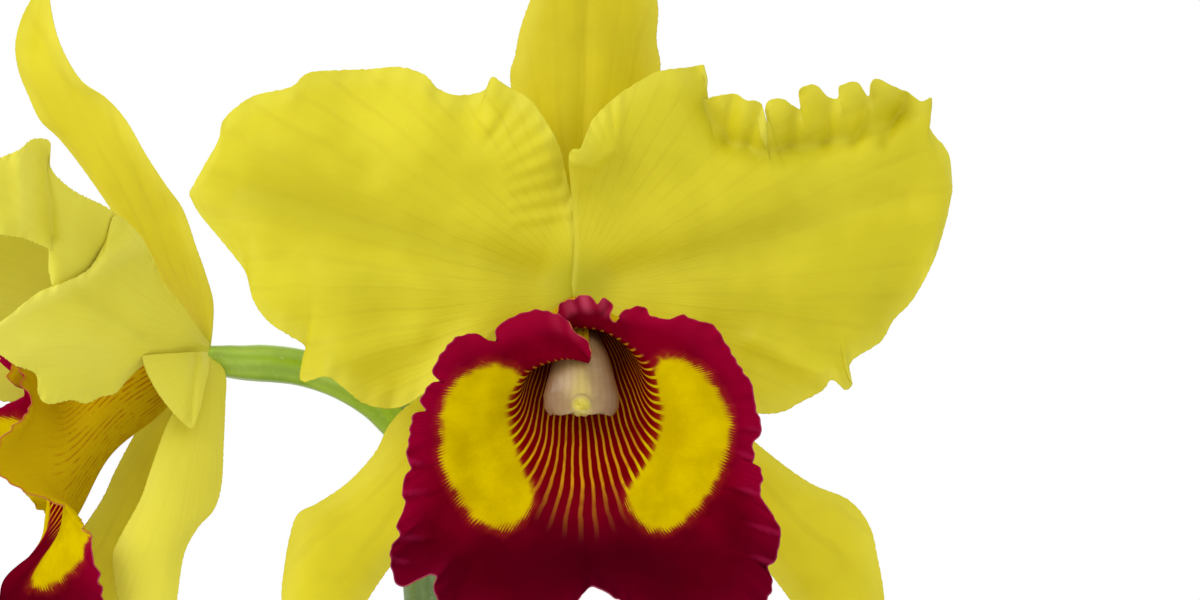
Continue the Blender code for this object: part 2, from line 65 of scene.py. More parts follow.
# ---- shapes: curves and noise ------------------------------------------
def spline(points, t):
    """Catmull-Rom curve through the points, at every t from 0 to 1."""
    p = np.array(points, float)
    last = len(p) - 1
    place = np.clip(np.asarray(t, float), 0, 1) * last
    i = np.minimum(place.astype(int), last - 1)
    f = (place - i).reshape(place.shape + (1,) * (p.ndim - 1))
    p = np.concatenate(([2 * p[0] - p[1]], p, [2 * p[-1] - p[-2]]))
    a, b, c, d = p[i], p[i + 1], p[i + 2], p[i + 3]
    return 0.5 * (2 * b + (c - a) * f + (2 * a - 5 * b + 4 * c - d) * f ** 2
                  + (3 * b - a - 3 * c + d) * f ** 3)


def even(points, count, fine=4000):
    """Points evenly spaced by length along the curve through the points."""
    dense = spline(points, np.linspace(0, 1, fine))
    run = np.concatenate(([0], np.cumsum(np.linalg.norm(np.diff(dense, axis=0), axis=1))))
    want = np.linspace(0, run[-1], count)
    return np.stack([np.interp(want, run, column) for column in dense.T], axis=1)


def circle(count):
    """Angles of that many points round a circle."""
    return np.linspace(0, 2 * np.pi, count, endpoint=False)


def square(rows, columns):
    """Two grids that run from 0 to 1 along the rows and along the columns."""
    return np.meshgrid(np.linspace(0, 1, rows), np.linspace(0, 1, columns), indexing="ij")


def smooth(low, high, x):
    """0 below low, 1 above high, and a soft step between."""
    t = np.clip((np.asarray(x, float) - low) / (high - low), 0, 1)
    return t * t * (3 - 2 * t)


def ripple(t, low, high, seed, waves=7):
    """Uneven wave of about -1 to 1 along t, of low to high cycles per unit."""
    rng = np.random.default_rng(seed)
    total = np.zeros_like(np.asarray(t, float))
    for cycles in np.linspace(low, high, waves):
        total += rng.uniform(0.6, 1.0) * np.sin(2 * np.pi * (cycles * t + rng.uniform()))
    return total / math.sqrt(waves)


def cloud(x, z, size, seed, waves=10):
    """Smooth uneven field of about -1 to 1 with features of that size."""
    rng = np.random.default_rng(seed)
    total = np.zeros_like(np.asarray(x, float))
    for _ in range(waves):
        angle, pitch = rng.uniform(0, 2 * np.pi), size * rng.uniform(0.8, 1.6)
        along = x * math.cos(angle) + z * math.sin(angle)
        total += np.sin(2 * np.pi * (along / pitch + rng.uniform()))
    return total / math.sqrt(waves)


def crease(x, z, start, end, width, height):
    """A ridge (or a groove, if height is negative) along a segment."""
    a, b = np.array(start, float), np.array(end, float)
    along = b - a
    t = np.clip(((x - a[0]) * along[0] + (z - a[1]) * along[1]) / along.dot(along), 0, 1)
    distance = np.hypot(x - a[0] - t * along[0], z - a[1] - t * along[1])
    return height * np.exp(-(distance / width) ** 2)


def creases(x, z, *rows):
    """Several creases together, each as (start, end, width, height)."""
    return sum(crease(x, z, *row) for row in rows)


def strongest(x, z, *rows):
    """At every place the greatest of several such creases."""
    return np.max([crease(x, z, *row) for row in rows], axis=0)


def arch(t):
    """0 at both ends of 0 to 1, and 1 in the middle."""
    return 4 * t * (1 - t)


def inside(x, z, outline):
    """Distance to a closed outline in its own units, positive inside."""
    ring = even(list(outline) + [outline[0]], 120)
    nearest = np.full(x.shape, 1e9)
    crossings = np.zeros(x.shape, int)
    for (ax, az), (bx, bz) in zip(ring[:-1], ring[1:]):
        dx, dz = bx - ax, bz - az
        t = np.clip(((x - ax) * dx + (z - az) * dz) / (dx * dx + dz * dz), 0, 1)
        nearest = np.minimum(nearest, np.hypot(x - ax - t * dx, z - az - t * dz))
        crossings += ((az > z) != (bz > z)) & (x < ax + (z - az) * dx / (dz + 1e-12))
    return np.where(crossings % 2 == 1, nearest, -nearest)


# ---- shapes: meshes -----------------------------------------------------
def make_object(name, verts, faces, slot, uv, fields, node=None, look=None):
    """A named, smooth-shaded piece that stands for a CAD node; the node has the
    piece's own name and the look has the slot's, unless others are given."""
    data = bpy.data.meshes.new(name)
    data.from_pydata(verts.tolist(), [], faces.tolist())
    corner = np.zeros(len(data.loops), int)
    data.loops.foreach_get("vertex_index", corner)
    layer = data.uv_layers.new(name="organ")
    layer.data.foreach_set("uv", uv[corner].astype(np.float32).ravel())
    for key, values in fields.items():
        data.attributes.new(key, "FLOAT", "POINT").data.foreach_set("value", values.astype(np.float32))
    data.shade_smooth()
    data.materials.append(LOOKS[look or slot])
    quads = verts[faces]
    volume = np.einsum("ij,ij->i", quads[:, 0], np.cross(quads[:, 1], quads[:, 2])).sum()
    volume += np.einsum("ij,ij->i", quads[:, 0], np.cross(quads[:, 2], quads[:, 3])).sum()
    if volume < 0:
        data.flip_normals()
    piece = bpy.data.objects.new(name, data)
    bpy.context.scene.collection.objects.link(piece)
    node = node or name
    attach(piece, "root")
    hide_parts(node)
    return piece


def grid_faces(rows, columns, offset=0, wrap=False):
    """Quads of a rows x columns grid of vertices."""
    i, j = np.meshgrid(np.arange(rows - 1), np.arange(columns if wrap else columns - 1), indexing="ij")
    k = (j + 1) % columns
    return np.stack((i * columns + j, i * columns + k, (i + 1) * columns + k, (i + 1) * columns + j),
                    axis=-1).reshape(-1, 4) + offset


def shell(name, points, thickness, slot, fields=None, uv=None, facing=None, **others):
    """A sheet with real thickness from a grid of world points (rows, columns);
    its inner face is the one that looks the facing way."""
    rows, columns = points.shape[:2]
    normal = np.cross(np.gradient(points, axis=0), np.gradient(points, axis=1))
    normal /= np.linalg.norm(normal, axis=2, keepdims=True) + 1e-12
    if facing is not None and np.mean(normal @ np.array(facing)) < 0:
        normal = -normal
    shift = normal * (np.broadcast_to(thickness, (rows, columns))[..., None] * 0.5)
    count = rows * columns
    verts = np.concatenate(((points + shift).reshape(-1, 3), (points - shift).reshape(-1, 3)))
    front = grid_faces(rows, columns)
    back = grid_faces(rows, columns, count)[:, ::-1]
    index = np.arange(count).reshape(rows, columns)
    rim = np.concatenate((index[0, :], index[1:, -1], index[-1, -2::-1], index[-2:0:-1, 0]))
    after = np.roll(rim, -1)
    sides = np.stack((after, rim, rim + count, after + count), axis=-1)
    if uv is None:
        uv = np.stack(square(rows, columns), axis=-1)
    flat_uv = np.tile(uv.reshape(-1, 2), (2, 1))
    flat = {key: np.tile(values.reshape(-1), 2) for key, values in (fields or {}).items()}
    flat["outer"] = np.repeat((0.0, 1.0), count)
    return make_object(name, verts, np.concatenate((front, back, sides)), slot, flat_uv, flat, **others)


def tube(name, rings, slot, fields=None, node=None):
    """A closed body from rings of world points (rings, points); the end rings
    shrink to nothing, so that they close it."""
    rows, columns = rings.shape[:2]
    verts = rings.reshape(-1, 3)
    uv = np.stack(np.meshgrid(np.linspace(0, 1, rows), np.arange(columns) / columns, indexing="ij"), axis=-1)
    flat = {key: values.reshape(-1) for key, values in (fields or {}).items()}
    faces = grid_faces(rows, columns, wrap=True)
    piece = make_object(name, verts, faces, slot, uv.reshape(-1, 2), flat, node)
    weld = piece.modifiers.new("weld", "WELD")
    weld.merge_threshold = 0.002 * MM
    return piece


def sweep(centre, radius, columns, shape=None, up=(0.0, 0.0, 1.0)):
    """Rings of the given radius round a centre line; shape scales each ring's
    radius by angle, and the ends are rounded off and closed."""
    tangent = np.gradient(centre, axis=0)
    tangent /= np.linalg.norm(tangent, axis=1, keepdims=True)
    side = np.cross(tangent, np.array(up, float))
    side /= np.linalg.norm(side, axis=1, keepdims=True)
    top = np.cross(side, tangent)
    angle = circle(columns)
    wide = np.broadcast_to(radius, (len(centre),))[:, None] * (np.ones(columns) if shape is None else shape)
    rings = (centre[:, None] + side[:, None] * (wide * np.cos(angle))[..., None]
             + top[:, None] * (wide * np.sin(angle))[..., None])
    caps = []
    for end, sign in ((0, -1.0), (-1, 1.0)):
        cap = []
        for step in (0.45, 0.75, 0.93, 1.0):
            grow = math.sqrt(max(1 - step * step, 0.0))
            tip = centre[end] + tangent[end] * sign * step * 0.5 * np.mean(wide[end])
            cap.append(tip + (rings[end] - centre[end]) * (grow if step < 1 else 0.0))
        caps.append(cap)
    return np.concatenate((np.array(caps[0][::-1]), rings, np.array(caps[1])))


# ---- materials ----------------------------------------------------------
def srgb(red, green, blue):
    """Linear colour from the everyday 0 to 255 values."""
    def linear(value):
        value /= 255.0
        return value / 12.92 if value <= 0.04045 else ((value + 0.055) / 1.055) ** 2.4
    return (linear(red), linear(green), linear(blue), 1.0)


class Look:
    """A Principled material with short ways to add nodes to it."""

    def __init__(self, name, roughness=0.5, **constants):
        self.mat = bpy.data.materials.new(name)
        self.mat.use_nodes = True
        self.tree = self.mat.node_tree
        self.shader = self.tree.nodes["Principled BSDF"]
        self.shader.inputs["Roughness"].default_value = roughness
        for key, value in constants.items():
            self.shader.inputs[key.replace("_", " ")].default_value = value

    def put(self, socket, value):
        if isinstance(value, bpy.types.NodeSocket):
            self.tree.links.new(value, socket)
        else:
            socket.default_value = value

    def add(self, kind, inputs=(), output=0, **settings):
        made = self.tree.nodes.new("ShaderNode" + kind)
        for key, value in settings.items():
            setattr(made, key, value)
        for key, value in dict(inputs).items():
            self.put(made.inputs[key], value)
        return made.outputs[output]

    def field(self, name):
        return self.add("Attribute", output="Fac", attribute_name=name)

    def uv(self):
        split = self.tree.nodes.new("ShaderNodeSeparateXYZ")
        self.tree.links.new(self.add("UVMap", uv_map="organ"), split.inputs[0])
        return split.outputs[0], split.outputs[1]

    def math(self, operation, a, b=0.0):
        return self.add("Math", {0: a, 1: b}, operation=operation)

    def times(self, a, b):
        return self.math("MULTIPLY", a, b)

    def plus(self, a, b):
        return self.math("ADD", a, b)

    def less(self, a, b):
        return self.math("SUBTRACT", a, b)

    def step(self, value, low, high, to_low=0.0, to_high=1.0):
        return self.add("MapRange", {0: value, 1: low, 2: high, 3: to_low, 4: to_high},
                        interpolation_type="SMOOTHSTEP")

    def noise(self, scale, detail=3.0, rough=0.55, stretch=None, warp=0.0):
        place = self.add("TexCoord", output="Object")
        if stretch:
            place = self.add("Mapping", {"Vector": place, "Scale": stretch})
        return self.add("TexNoise", {"Vector": place, "Scale": scale, "Detail": detail,
                                     "Roughness": rough, "Distortion": warp})

    def mix(self, factor, a, b):
        return self.add("Mix", {0: factor, 6: a, 7: b}, output=2, data_type="RGBA")

    def mottle(self, noise, low, high):
        """Two colours in soft patches."""
        return self.mix(self.step(noise, 0.3, 0.7), low, high)

    def tint(self, colour, mask, amount, over):
        """The colour, with another over it by that amount where the mask is."""
        return self.mix(self.times(mask, amount), colour, over)

    def finish(self, colour, bumps=(), roughness=None):
        """Colour, and bumps as (height, strength, distance in metres)."""
        self.put(self.shader.inputs["Base Color"], colour)
        normal = None
        for height, strength, distance in bumps:
            inputs = {"Height": height, "Strength": strength, "Distance": distance}
            if normal is not None:
                inputs["Normal"] = normal
            normal = self.add("Bump", inputs)
        if normal is not None:
            self.put(self.shader.inputs["Normal"], normal)
        if roughness is not None:
            self.put(self.shader.inputs["Roughness"], roughness)
        return self.mat


def lines(look, coordinate, count, wander, width_low, width_high):
    """0 to 1 stripes along an attribute or UV coordinate, pushed about by a noise."""
    pushed = look.plus(look.times(coordinate, count), wander)
    wave = look.math("SINE", look.times(pushed, 2 * math.pi))
    return look.step(wave, width_low, width_high)


def petal_look(name, low, high, base_tint):
    """Yellow petal tissue: soft mottling, fine fanning veins, sparkling cells, with painted shade and painted
    highlights laid over them.
    """
    look = Look(name, 0.55, Subsurface_Weight=0.10, Subsurface_Scale=0.002, Specular_IOR_Level=0.3,
                Subsurface_Radius=(1.0, 0.8, 0.1))
    soft = look.noise(45.0, 3.0)
    colour = look.mottle(soft, low, high)
    fan = look.field("fan")
    wander = look.times(look.noise(60.0, 2.0), 0.8)
    veins = lines(look, fan, 64.0, wander, 0.55, 1.0)
    strength = look.step(look.noise(80.0, 3.0), 0.35, 0.7, 0.03, 0.13)
    colour = look.tint(colour, veins, strength, srgb(176, 152, 4))
    reach = look.field("reach")
    colour = look.mix(look.step(reach, 1.5, 11.0, 0.65, 0.0), colour, base_tint)
    edge = look.field("edge")
    colour = look.mix(look.step(edge, 0.0, 5.0, 0.30, 0.0), colour, srgb(232, 222, 84))
    # Painted shade where the fold field is set, and a painted highlight where the pale field is set.
    colour = look.tint(colour, look.field("fold"), 0.9, srgb(168, 158, 16))
    colour = look.tint(colour, look.field("pale"), 0.8, srgb(238, 230, 110))
    colour = look.tint(colour, look.field("outer"), 0.55, srgb(232, 224, 80))
    fine = lines(look, fan, 230.0, look.times(wander, 3.0), -0.6, 1.0)
    grain = look.noise(2400.0, 2.0)
    return look.finish(colour, ((veins, 0.10, 0.0002), (fine, 0.10, 0.00012), (grain, 0.10, 0.0001)))


def lip_look(name):
    """Crimson lip with two yellow eyes and a veined throat."""
    look = Look(name, 0.6, Specular_IOR_Level=0.0)
    along, turn = look.uv()
    eye, frill = look.field("eye"), look.field("edge")
    patch = look.noise(140.0, 4.0)
    crimson = look.mix(look.step(patch, 0.35, 0.65), srgb(106, 0, 20), srgb(128, 0, 28))
    crimson = look.mix(look.step(frill, 0.0, 11.0, 0.75, 0.0), crimson, srgb(150, 2, 46))
    crimson = look.tint(crimson, look.field("dark"), 0.95, srgb(68, 0, 14))
    wander = look.times(look.noise(90.0, 3.0), 0.9)
    streak = lines(look, turn, 330.0, look.times(wander, 4.0), -0.6, 1.0)
    crimson = look.tint(crimson, streak, 0.16, srgb(84, 0, 26))
    yellow = look.mottle(patch, srgb(192, 164, 0), srgb(212, 186, 0))
    # Veins of the throat: thin yellow lines on red, a little uneven.
    vein = lines(look, turn, 52.0, wander, 0.25, 0.95)
    thin = look.times(vein, look.step(look.noise(200.0, 3.0), 0.25, 0.55, 0.55, 1.0))
    throat = look.mix(thin, srgb(112, 0, 6), srgb(204, 140, 20))
    colour = look.mix(look.field("throat"), crimson, throat)
    fringe = look.times(look.less(vein, 0.35),
                       look.step(look.field("throat"), 0.2, 0.8, 0.2, 2.4))
    comb = look.times(streak, look.step(look.noise(420.0, 3.0), 0.38, 0.66, 0.0, 0.8))
    feather = look.plus(eye, look.less(comb, 0.4))
    feather = look.plus(feather, look.times(look.less(patch, 0.5), 3.0))
    feather = look.plus(feather, fringe)
    colour = look.mix(look.step(feather, -0.8, 0.6), colour, yellow)
    halo = look.times(look.step(feather, -2.2, -0.4), look.step(feather, 1.0, -0.4))
    colour = look.tint(colour, halo, 0.22, srgb(186, 60, 10))
    colour = look.mix(look.step(frill, 0.0, 0.45, 0.6, 0.0), colour, srgb(190, 80, 120))
    # Painted highlight on the crests of the edge's waves and along its narrow folds.
    colour = look.tint(colour, look.field("crest_highlight"), 0.35, srgb(168, 36, 84))
    colour = look.tint(colour, look.field("top"), 0.55, srgb(160, 10, 48))
    # The crown's own pink, in stripes that paint the light and shade of its small folds.
    colour = look.tint(colour, look.field("crown"), 0.85, srgb(196, 70, 98))
    outside = look.mix(look.field("lobe"), srgb(196, 162, 10), srgb(120, 4, 30))
    red = look.times(vein, look.step(along, 0.62, 0.25, 0.0, 0.8))
    broken = look.step(look.noise(420.0, 3.0), 0.40, 0.60, 0.05, 1.0)
    outside = look.tint(outside, red, broken, srgb(158, 70, 10))
    outside = look.mix(look.step(frill, 0.0, 1.4, 0.75, 0.0), outside, srgb(196, 110, 40))
    colour = look.mix(look.field("outer"), colour, outside)
    grain = look.noise(2200.0, 2.0)
    return look.finish(colour, ((streak, 0.12, 0.0002), (vein, 0.10, 0.0002), (grain, 0.12, 0.00012)))


def stem_look(name, low, high, shade):
    """Waxy green stem tissue with long soft streaks and pale specks."""
    look = Look(name, 0.35, Subsurface_Weight=0.08, Subsurface_Scale=0.002, Coat_Weight=0.12,
                Coat_Roughness=0.3, Subsurface_Radius=(0.6, 1.0, 0.2))
    turn = look.uv()[1]
    soft = look.noise(110.0, 4.0)
    colour = look.mottle(soft, low, high)
    streak = lines(look, turn, 9.0, look.times(soft, 0.8), -0.9, 0.9)
    colour = look.tint(colour, streak, 0.35, shade)
    speck = look.step(look.noise(1500.0, 1.0), 0.66, 0.74)
    colour = look.tint(colour, speck, 0.3, srgb(206, 214, 160))
    return look.finish(colour, ((streak, 0.2, 0.0003), (speck, 0.1, 0.0001)))


def column_look(name, low, high, shade, glow):
    """Waxy, slightly clear tissue, with painted shade towards the sides and the foot, and a painted glow
    along the middle of the upper side's tip."""
    look = Look(name, 0.4, Subsurface_Weight=0.15, Subsurface_Scale=0.002,
                Subsurface_Radius=(1.0, 0.7, 0.5))
    along, turn = look.uv()
    soft = look.noise(260.0, 3.0)
    colour = look.mottle(soft, low, high)
    # Painted shade towards the sides and the foot.
    side = look.math("ABSOLUTE", look.math("COSINE", look.times(turn, 2 * math.pi)))
    colour = look.mix(look.step(side, 0.35, 1.0, 0.0, 0.85), colour, shade)
    colour = look.mix(look.step(along, 0.35, 0.75, 0.8, 0.0), colour, shade)
    # A painted glow along the middle of the upper side's tip.
    middle = look.math("ABSOLUTE", look.less(turn, 0.25))
    spot = look.times(look.step(middle, 0.0, 0.07, 0.75, 0.0), look.step(along, 0.62, 0.86))
    colour = look.mix(spot, colour, glow)
    streak = lines(look, turn, 30.0, look.times(soft, 0.5), -0.6, 1.0)
    colour = look.tint(colour, streak, 0.10, shade)
    return look.finish(colour, ((streak, 0.10, 0.0002), (look.noise(1800.0, 2.0), 0.08, 0.0001)))


def anther_look(name):
    """Yellow at the front of the cap, fading into the column's tan at its rim."""
    look = Look(name, 0.5, Subsurface_Weight=0.15, Subsurface_Scale=0.002)
    along = look.uv()[0]
    soft = look.noise(900.0, 3.0)
    yellow = look.mottle(soft, srgb(196, 176, 34), srgb(222, 208, 84))
    ragged = look.plus(along, look.times(look.less(soft, 0.5), 0.25))
    colour = look.mix(look.step(ragged, 0.10, 0.48, 0.0, 1.0), yellow, srgb(168, 140, 92))
    return look.finish(colour, ((soft, 0.2, 0.0002),))


def leaf_look(name):
    look = Look(name, 0.36, Coat_Weight=0.25, Coat_Roughness=0.25)
    along, turn = look.uv()
    soft = look.noise(38.0, 4.0)
    colour = look.mottle(soft, srgb(52, 92, 30), srgb(84, 124, 42))
    fine = lines(look, turn, 46.0, look.times(soft, 1.2), -0.5, 1.0)
    colour = look.tint(colour, fine, 0.20, srgb(40, 76, 24))
    middle = look.math("ABSOLUTE", look.less(turn, 0.5))
    colour = look.mix(look.step(middle, 0.0, 0.025, 0.6, 0.0), colour, srgb(122, 152, 66))
    colour = look.mix(look.step(middle, 0.485, 0.5, 0.0, 0.7), colour, srgb(120, 96, 50))
    colour = look.mix(look.step(along, 0.0, 0.10, 0.7, 0.0), colour, srgb(150, 160, 78))
    colour = look.tint(colour, look.field("outer"), 0.35, srgb(104, 138, 66))
    blotch = look.step(look.noise(260.0, 5.0), 0.62, 0.75)
    colour = look.tint(colour, blotch, 0.25, srgb(140, 156, 70))
    rough = look.step(look.noise(90.0, 3.0), 0.2, 0.8, 0.30, 0.48)
    return look.finish(colour, ((fine, 0.25, 0.0003), (look.noise(900.0, 3.0), 0.12, 0.0002)), rough)


def bulb_look(name):
    look = Look(name, 0.42, Coat_Weight=0.15, Coat_Roughness=0.3)
    along, turn = look.uv()
    soft = look.noise(70.0, 4.0)
    colour = look.mottle(soft, srgb(104, 124, 40), srgb(142, 156, 62))
    ridge = lines(look, turn, 10.0, look.times(soft, 0.3), -1.0, 1.0)
    colour = look.tint(colour, ridge, 0.35, srgb(166, 172, 84))
    fine = lines(look, turn, 70.0, look.times(soft, 2.0), 0.0, 1.0)
    colour = look.tint(colour, fine, 0.25, srgb(84, 96, 34))
    colour = look.mix(look.step(along, 0.02, 0.22, 0.75, 0.0), colour, srgb(132, 110, 58))
    stain = look.step(look.noise(420.0, 5.0), 0.58, 0.72)
    colour = look.tint(colour, stain, 0.35, srgb(110, 88, 44))
    return look.finish(colour, ((fine, 0.3, 0.0003), (stain, 0.2, 0.0002)))


def paper_look(name, low, high, dark, rings=0.0):
    """Dry papery sheath with long fibres and torn-looking, darker patches."""
    look = Look(name, 0.72, Sheen_Weight=0.1)
    along, turn = look.uv()
    soft = look.noise(120.0, 5.0)
    colour = look.mottle(soft, low, high)
    fibre = lines(look, turn, 60.0, look.times(soft, 0.6), -0.4, 1.0)
    ring = lines(look, along, rings, look.times(soft, 0.3), 0.75, 1.0)
    colour = look.tint(colour, fibre, 0.4, dark)
    patch = look.step(look.noise(60.0, 5.0), 0.5, 0.7)
    colour = look.tint(colour, patch, 0.4, dark)
    colour = look.tint(colour, ring, 0.6, dark)
    return look.finish(colour, ((fibre, 0.5, 0.0004), (look.noise(700.0, 4.0), 0.2, 0.0003)))


def root_look(name):
    look = Look(name, 0.8)
    along = look.uv()[0]
    soft = look.noise(220.0, 5.0)
    colour = look.mottle(soft, srgb(176, 176, 150), srgb(208, 206, 186))
    colour = look.mix(look.step(along, 0.86, 0.97), colour, srgb(120, 150, 62))
    spot = look.step(look.noise(600.0, 4.0), 0.56, 0.7)
    colour = look.tint(colour, spot, 0.4, srgb(126, 104, 70))
    return look.finish(colour, ((soft, 0.5, 0.0006), (look.noise(1400.0, 3.0), 0.3, 0.0003)))


def bark_look(name):
    look = Look(name, 0.86)
    shade = look.field("shade")
    base = look.mix(shade, srgb(78, 42, 26), srgb(176, 122, 80))
    grain = look.noise(420.0, 5.0, 0.6, (1.0, 3.0, 5.0))
    colour = look.mix(look.step(grain, 0.40, 0.62, 0.0, 0.6), base, srgb(70, 38, 24))
    flake = look.step(look.noise(240.0, 5.0), 0.58, 0.68)
    colour = look.tint(colour, flake, 0.4, srgb(190, 142, 100))
    return look.finish(colour, ((grain, 0.8, 0.0008), (flake, 0.4, 0.0005)))


def clay_look(name):
    """Fired clay: fine grit, throwing rings, pale mineral bloom and damp foot."""
    look = Look(name, 0.86)
    place = look.tree.nodes.new("ShaderNodeSeparateXYZ")
    look.tree.links.new(look.add("TexCoord", output="Object"), place.inputs[0])
    height = place.outputs[2]
    soft = look.noise(26.0, 5.0, 0.6)
    colour = look.mottle(soft, srgb(176, 96, 62), srgb(198, 118, 80))
    rings = look.noise(1.0, 3.0, 0.5, (6.0, 6.0, 420.0))
    colour = look.mix(look.step(rings, 0.5, 0.7, 0.0, 0.25), colour, srgb(154, 80, 52))
    bloom = look.times(look.step(look.noise(34.0, 6.0, 0.65), 0.50, 0.66),
                      look.step(height, 0.02, 0.10, 0.25, 1.0))
    colour = look.tint(colour, bloom, 0.6, srgb(220, 196, 172))
    damp = look.step(look.plus(height, look.times(soft, 0.03)), 0.018, 0.040, 0.45, 0.0)
    colour = look.mix(damp, colour, srgb(116, 66, 42))
    grit = look.noise(1500.0, 4.0)
    speck = look.step(look.noise(900.0, 2.0), 0.68, 0.74)
    colour = look.tint(colour, speck, 0.4, srgb(110, 58, 38))
    return look.finish(colour, ((rings, 0.35, 0.0006), (grit, 0.35, 0.0004), (speck, 0.3, 0.0003)))


LOOKS = {
    "petal": petal_look("petal_tissue", srgb(204, 193, 14), srgb(223, 212, 34), srgb(172, 174, 18)),
    "sepal": petal_look("sepal_tissue", srgb(202, 186, 4), srgb(216, 200, 12), srgb(168, 168, 14)),
    # A brighter copy of the sepal tissue, for the sepals that the lamps light less: painted light.
    "sepal_painted_light": petal_look("sepal_tissue_painted_light", srgb(216, 202, 10), srgb(232, 218, 26), srgb(184, 184, 20)),
    "lip": lip_look("lip_tissue"),
    "column": column_look("column_tissue", srgb(156, 124, 78), srgb(184, 154, 106), srgb(116, 72, 42),
                          srgb(206, 186, 84)),
    "anther": anther_look("anther_tissue"),
    "ovary": stem_look("ovary_tissue", srgb(152, 190, 40), srgb(182, 214, 74), srgb(136, 172, 32)),
    "stem": stem_look("stem_tissue", srgb(104, 134, 74), srgb(136, 162, 100), srgb(90, 118, 56)),
    "leaf": leaf_look("leaf_tissue"),
    "bulb": bulb_look("bulb_tissue"),
    "sheath": paper_look("dry_sheath", srgb(186, 166, 122), srgb(210, 194, 152), srgb(132, 106, 70)),
    "spathe": paper_look("green_sheath", srgb(150, 160, 84), srgb(176, 182, 108), srgb(126, 116, 60)),
    "rhizome": paper_look("rhizome_skin", srgb(112, 96, 54), srgb(136, 122, 70), srgb(76, 58, 34), 24.0),
    "root": root_look("root_velamen"),
    "bark": bark_look("fir_bark"),
    "pot": clay_look("fired_clay"),
}


# ---- flowers ------------------------------------------------------------
def seen(points):
    """World points from millimetres as seen in the front flower's plane, with
    the depth behind it as the second value."""
    points = np.asarray(points, float)
    grow = 1 + points[..., 1] / VIEW_DISTANCE
    x = VIEW_AXIS[0] + (points[..., 0] - VIEW_AXIS[0]) * grow
    z = VIEW_AXIS[1] + (points[..., 2] - VIEW_AXIS[1]) * grow
    return np.stack((x, points[..., 1], z), axis=-1) * MM + np.array(FRONT)


def calm(rail, sigma):
    """The rail with its small corners smoothed away, its ends kept."""
    half = int(3 * sigma)
    weights = np.exp(-0.5 * (np.arange(-half, half + 1) / sigma) ** 2)
    weights /= weights.sum()
    padded = np.concatenate((2 * rail[:1] - rail[half:0:-1], rail, 2 * rail[-1:] - rail[-2:-half - 2:-1]))
    return np.stack([np.convolve(column, weights, mode="valid") for column in padded.T], axis=1)


def edge_frill(u, v, low, high, seeds, reach=0.35):
    """Uneven waves along each edge, one for either side, fading inwards."""
    upper = ripple(u, low, high, seeds[0]) * smooth(reach, 0.0, v)
    lower = ripple(u, low, high, seeds[1]) * smooth(1 - reach, 1.0, v)
    return (upper + lower) * smooth(0.0, 0.18, u)


def make_organ(name, edge_a, edge_b, depth_of, kind, foot, rows=210, columns=84, thick=0.65,
               offset=(0.0, 0.0, 0.0), teeth=0.22, seeds=(1, 2), node=None, shade_and_highlight_of=None,
               facing=(0.0, -1.0, 0.0), look=None):
    """A petal or sepal between two edges; depth_of(x, z, u, v) is its depth."""
    a, b = even(edge_a, rows), even(edge_b, rows)
    if a.shape[1] == 2:
        a, b = (np.stack((e[:, 0], np.zeros(rows), e[:, 1]), axis=1) for e in (a, b))
    u, v = np.meshgrid(np.linspace(0, 1, rows), 0.5 - 0.5 * np.cos(np.pi * np.linspace(0.06, 0.94, columns)),
                       indexing="ij")
    v = (v - v.min()) / (v.max() - v.min())
    mean_a, mean_b = calm(a, rows / 24), calm(b, rows / 24)
    points = mean_a[:, None] * (1 - v[..., None]) + mean_b[:, None] * v[..., None]
    points += (a - mean_a)[:, None] * (smooth(0.34, 0.0, v) ** 1.3)[..., None]
    points += (b - mean_b)[:, None] * (smooth(0.66, 1.0, v) ** 1.3)[..., None]
    across = mean_b - mean_a
    width = np.linalg.norm(across, axis=1)[:, None]
    across = (across / (width + 1e-9))[:, None]
    length = np.linalg.norm(np.diff(0.5 * (a + b), axis=0), axis=1).sum()
    nibble = teeth * ripple(u, 40, 95, seeds[0] + 50) * smooth(0.10, 0.0, v)
    nibble -= teeth * ripple(u, 40, 95, seeds[1] + 50) * smooth(0.90, 1.0, v)
    points = points + across * (nibble * smooth(0.05, 0.2, u))[..., None]
    x, z = points[..., 0], points[..., 2]
    points[..., 1] += depth_of(x, z, u, v)
    reach = np.hypot(x - foot[0], z - foot[1])
    fields = {
        "fan": np.arctan2(z - foot[1], x - foot[0]) / (2 * np.pi),
        "reach": reach,
        "edge": np.minimum(np.minimum(v, 1 - v) * width, (1 - u) * length),
        # fold is painted shade and pale is a painted highlight, both from the organ's shade function.
        "fold": np.clip(shade_and_highlight_of(x, z), 0, 1) if shade_and_highlight_of else np.zeros_like(x),
        "pale": np.clip(-shade_and_highlight_of(x, z), 0, 1) if shade_and_highlight_of else np.zeros_like(x),
    }
    taper = 0.30 + 0.70 * smooth(0.0, 3.0, fields["edge"])
    taper *= 1 + 0.8 * smooth(9.0, 0.0, reach)
    world = seen(points + np.array(offset))
    return shell(name, world, thick * MM * taper, kind, fields, facing=facing, node=node, look=look)


def bow(u, base, pull, tip):
    """Depth along an organ, as a simple curve from base to tip."""
    return base * (1 - u) ** 2 + 2 * pull * u * (1 - u) + tip * u ** 2


def across_cup(u, v, amount):
    """Both edges curve by amount, most at mid length."""
    return amount * (2 * v - 1) ** 2 * arch(u)


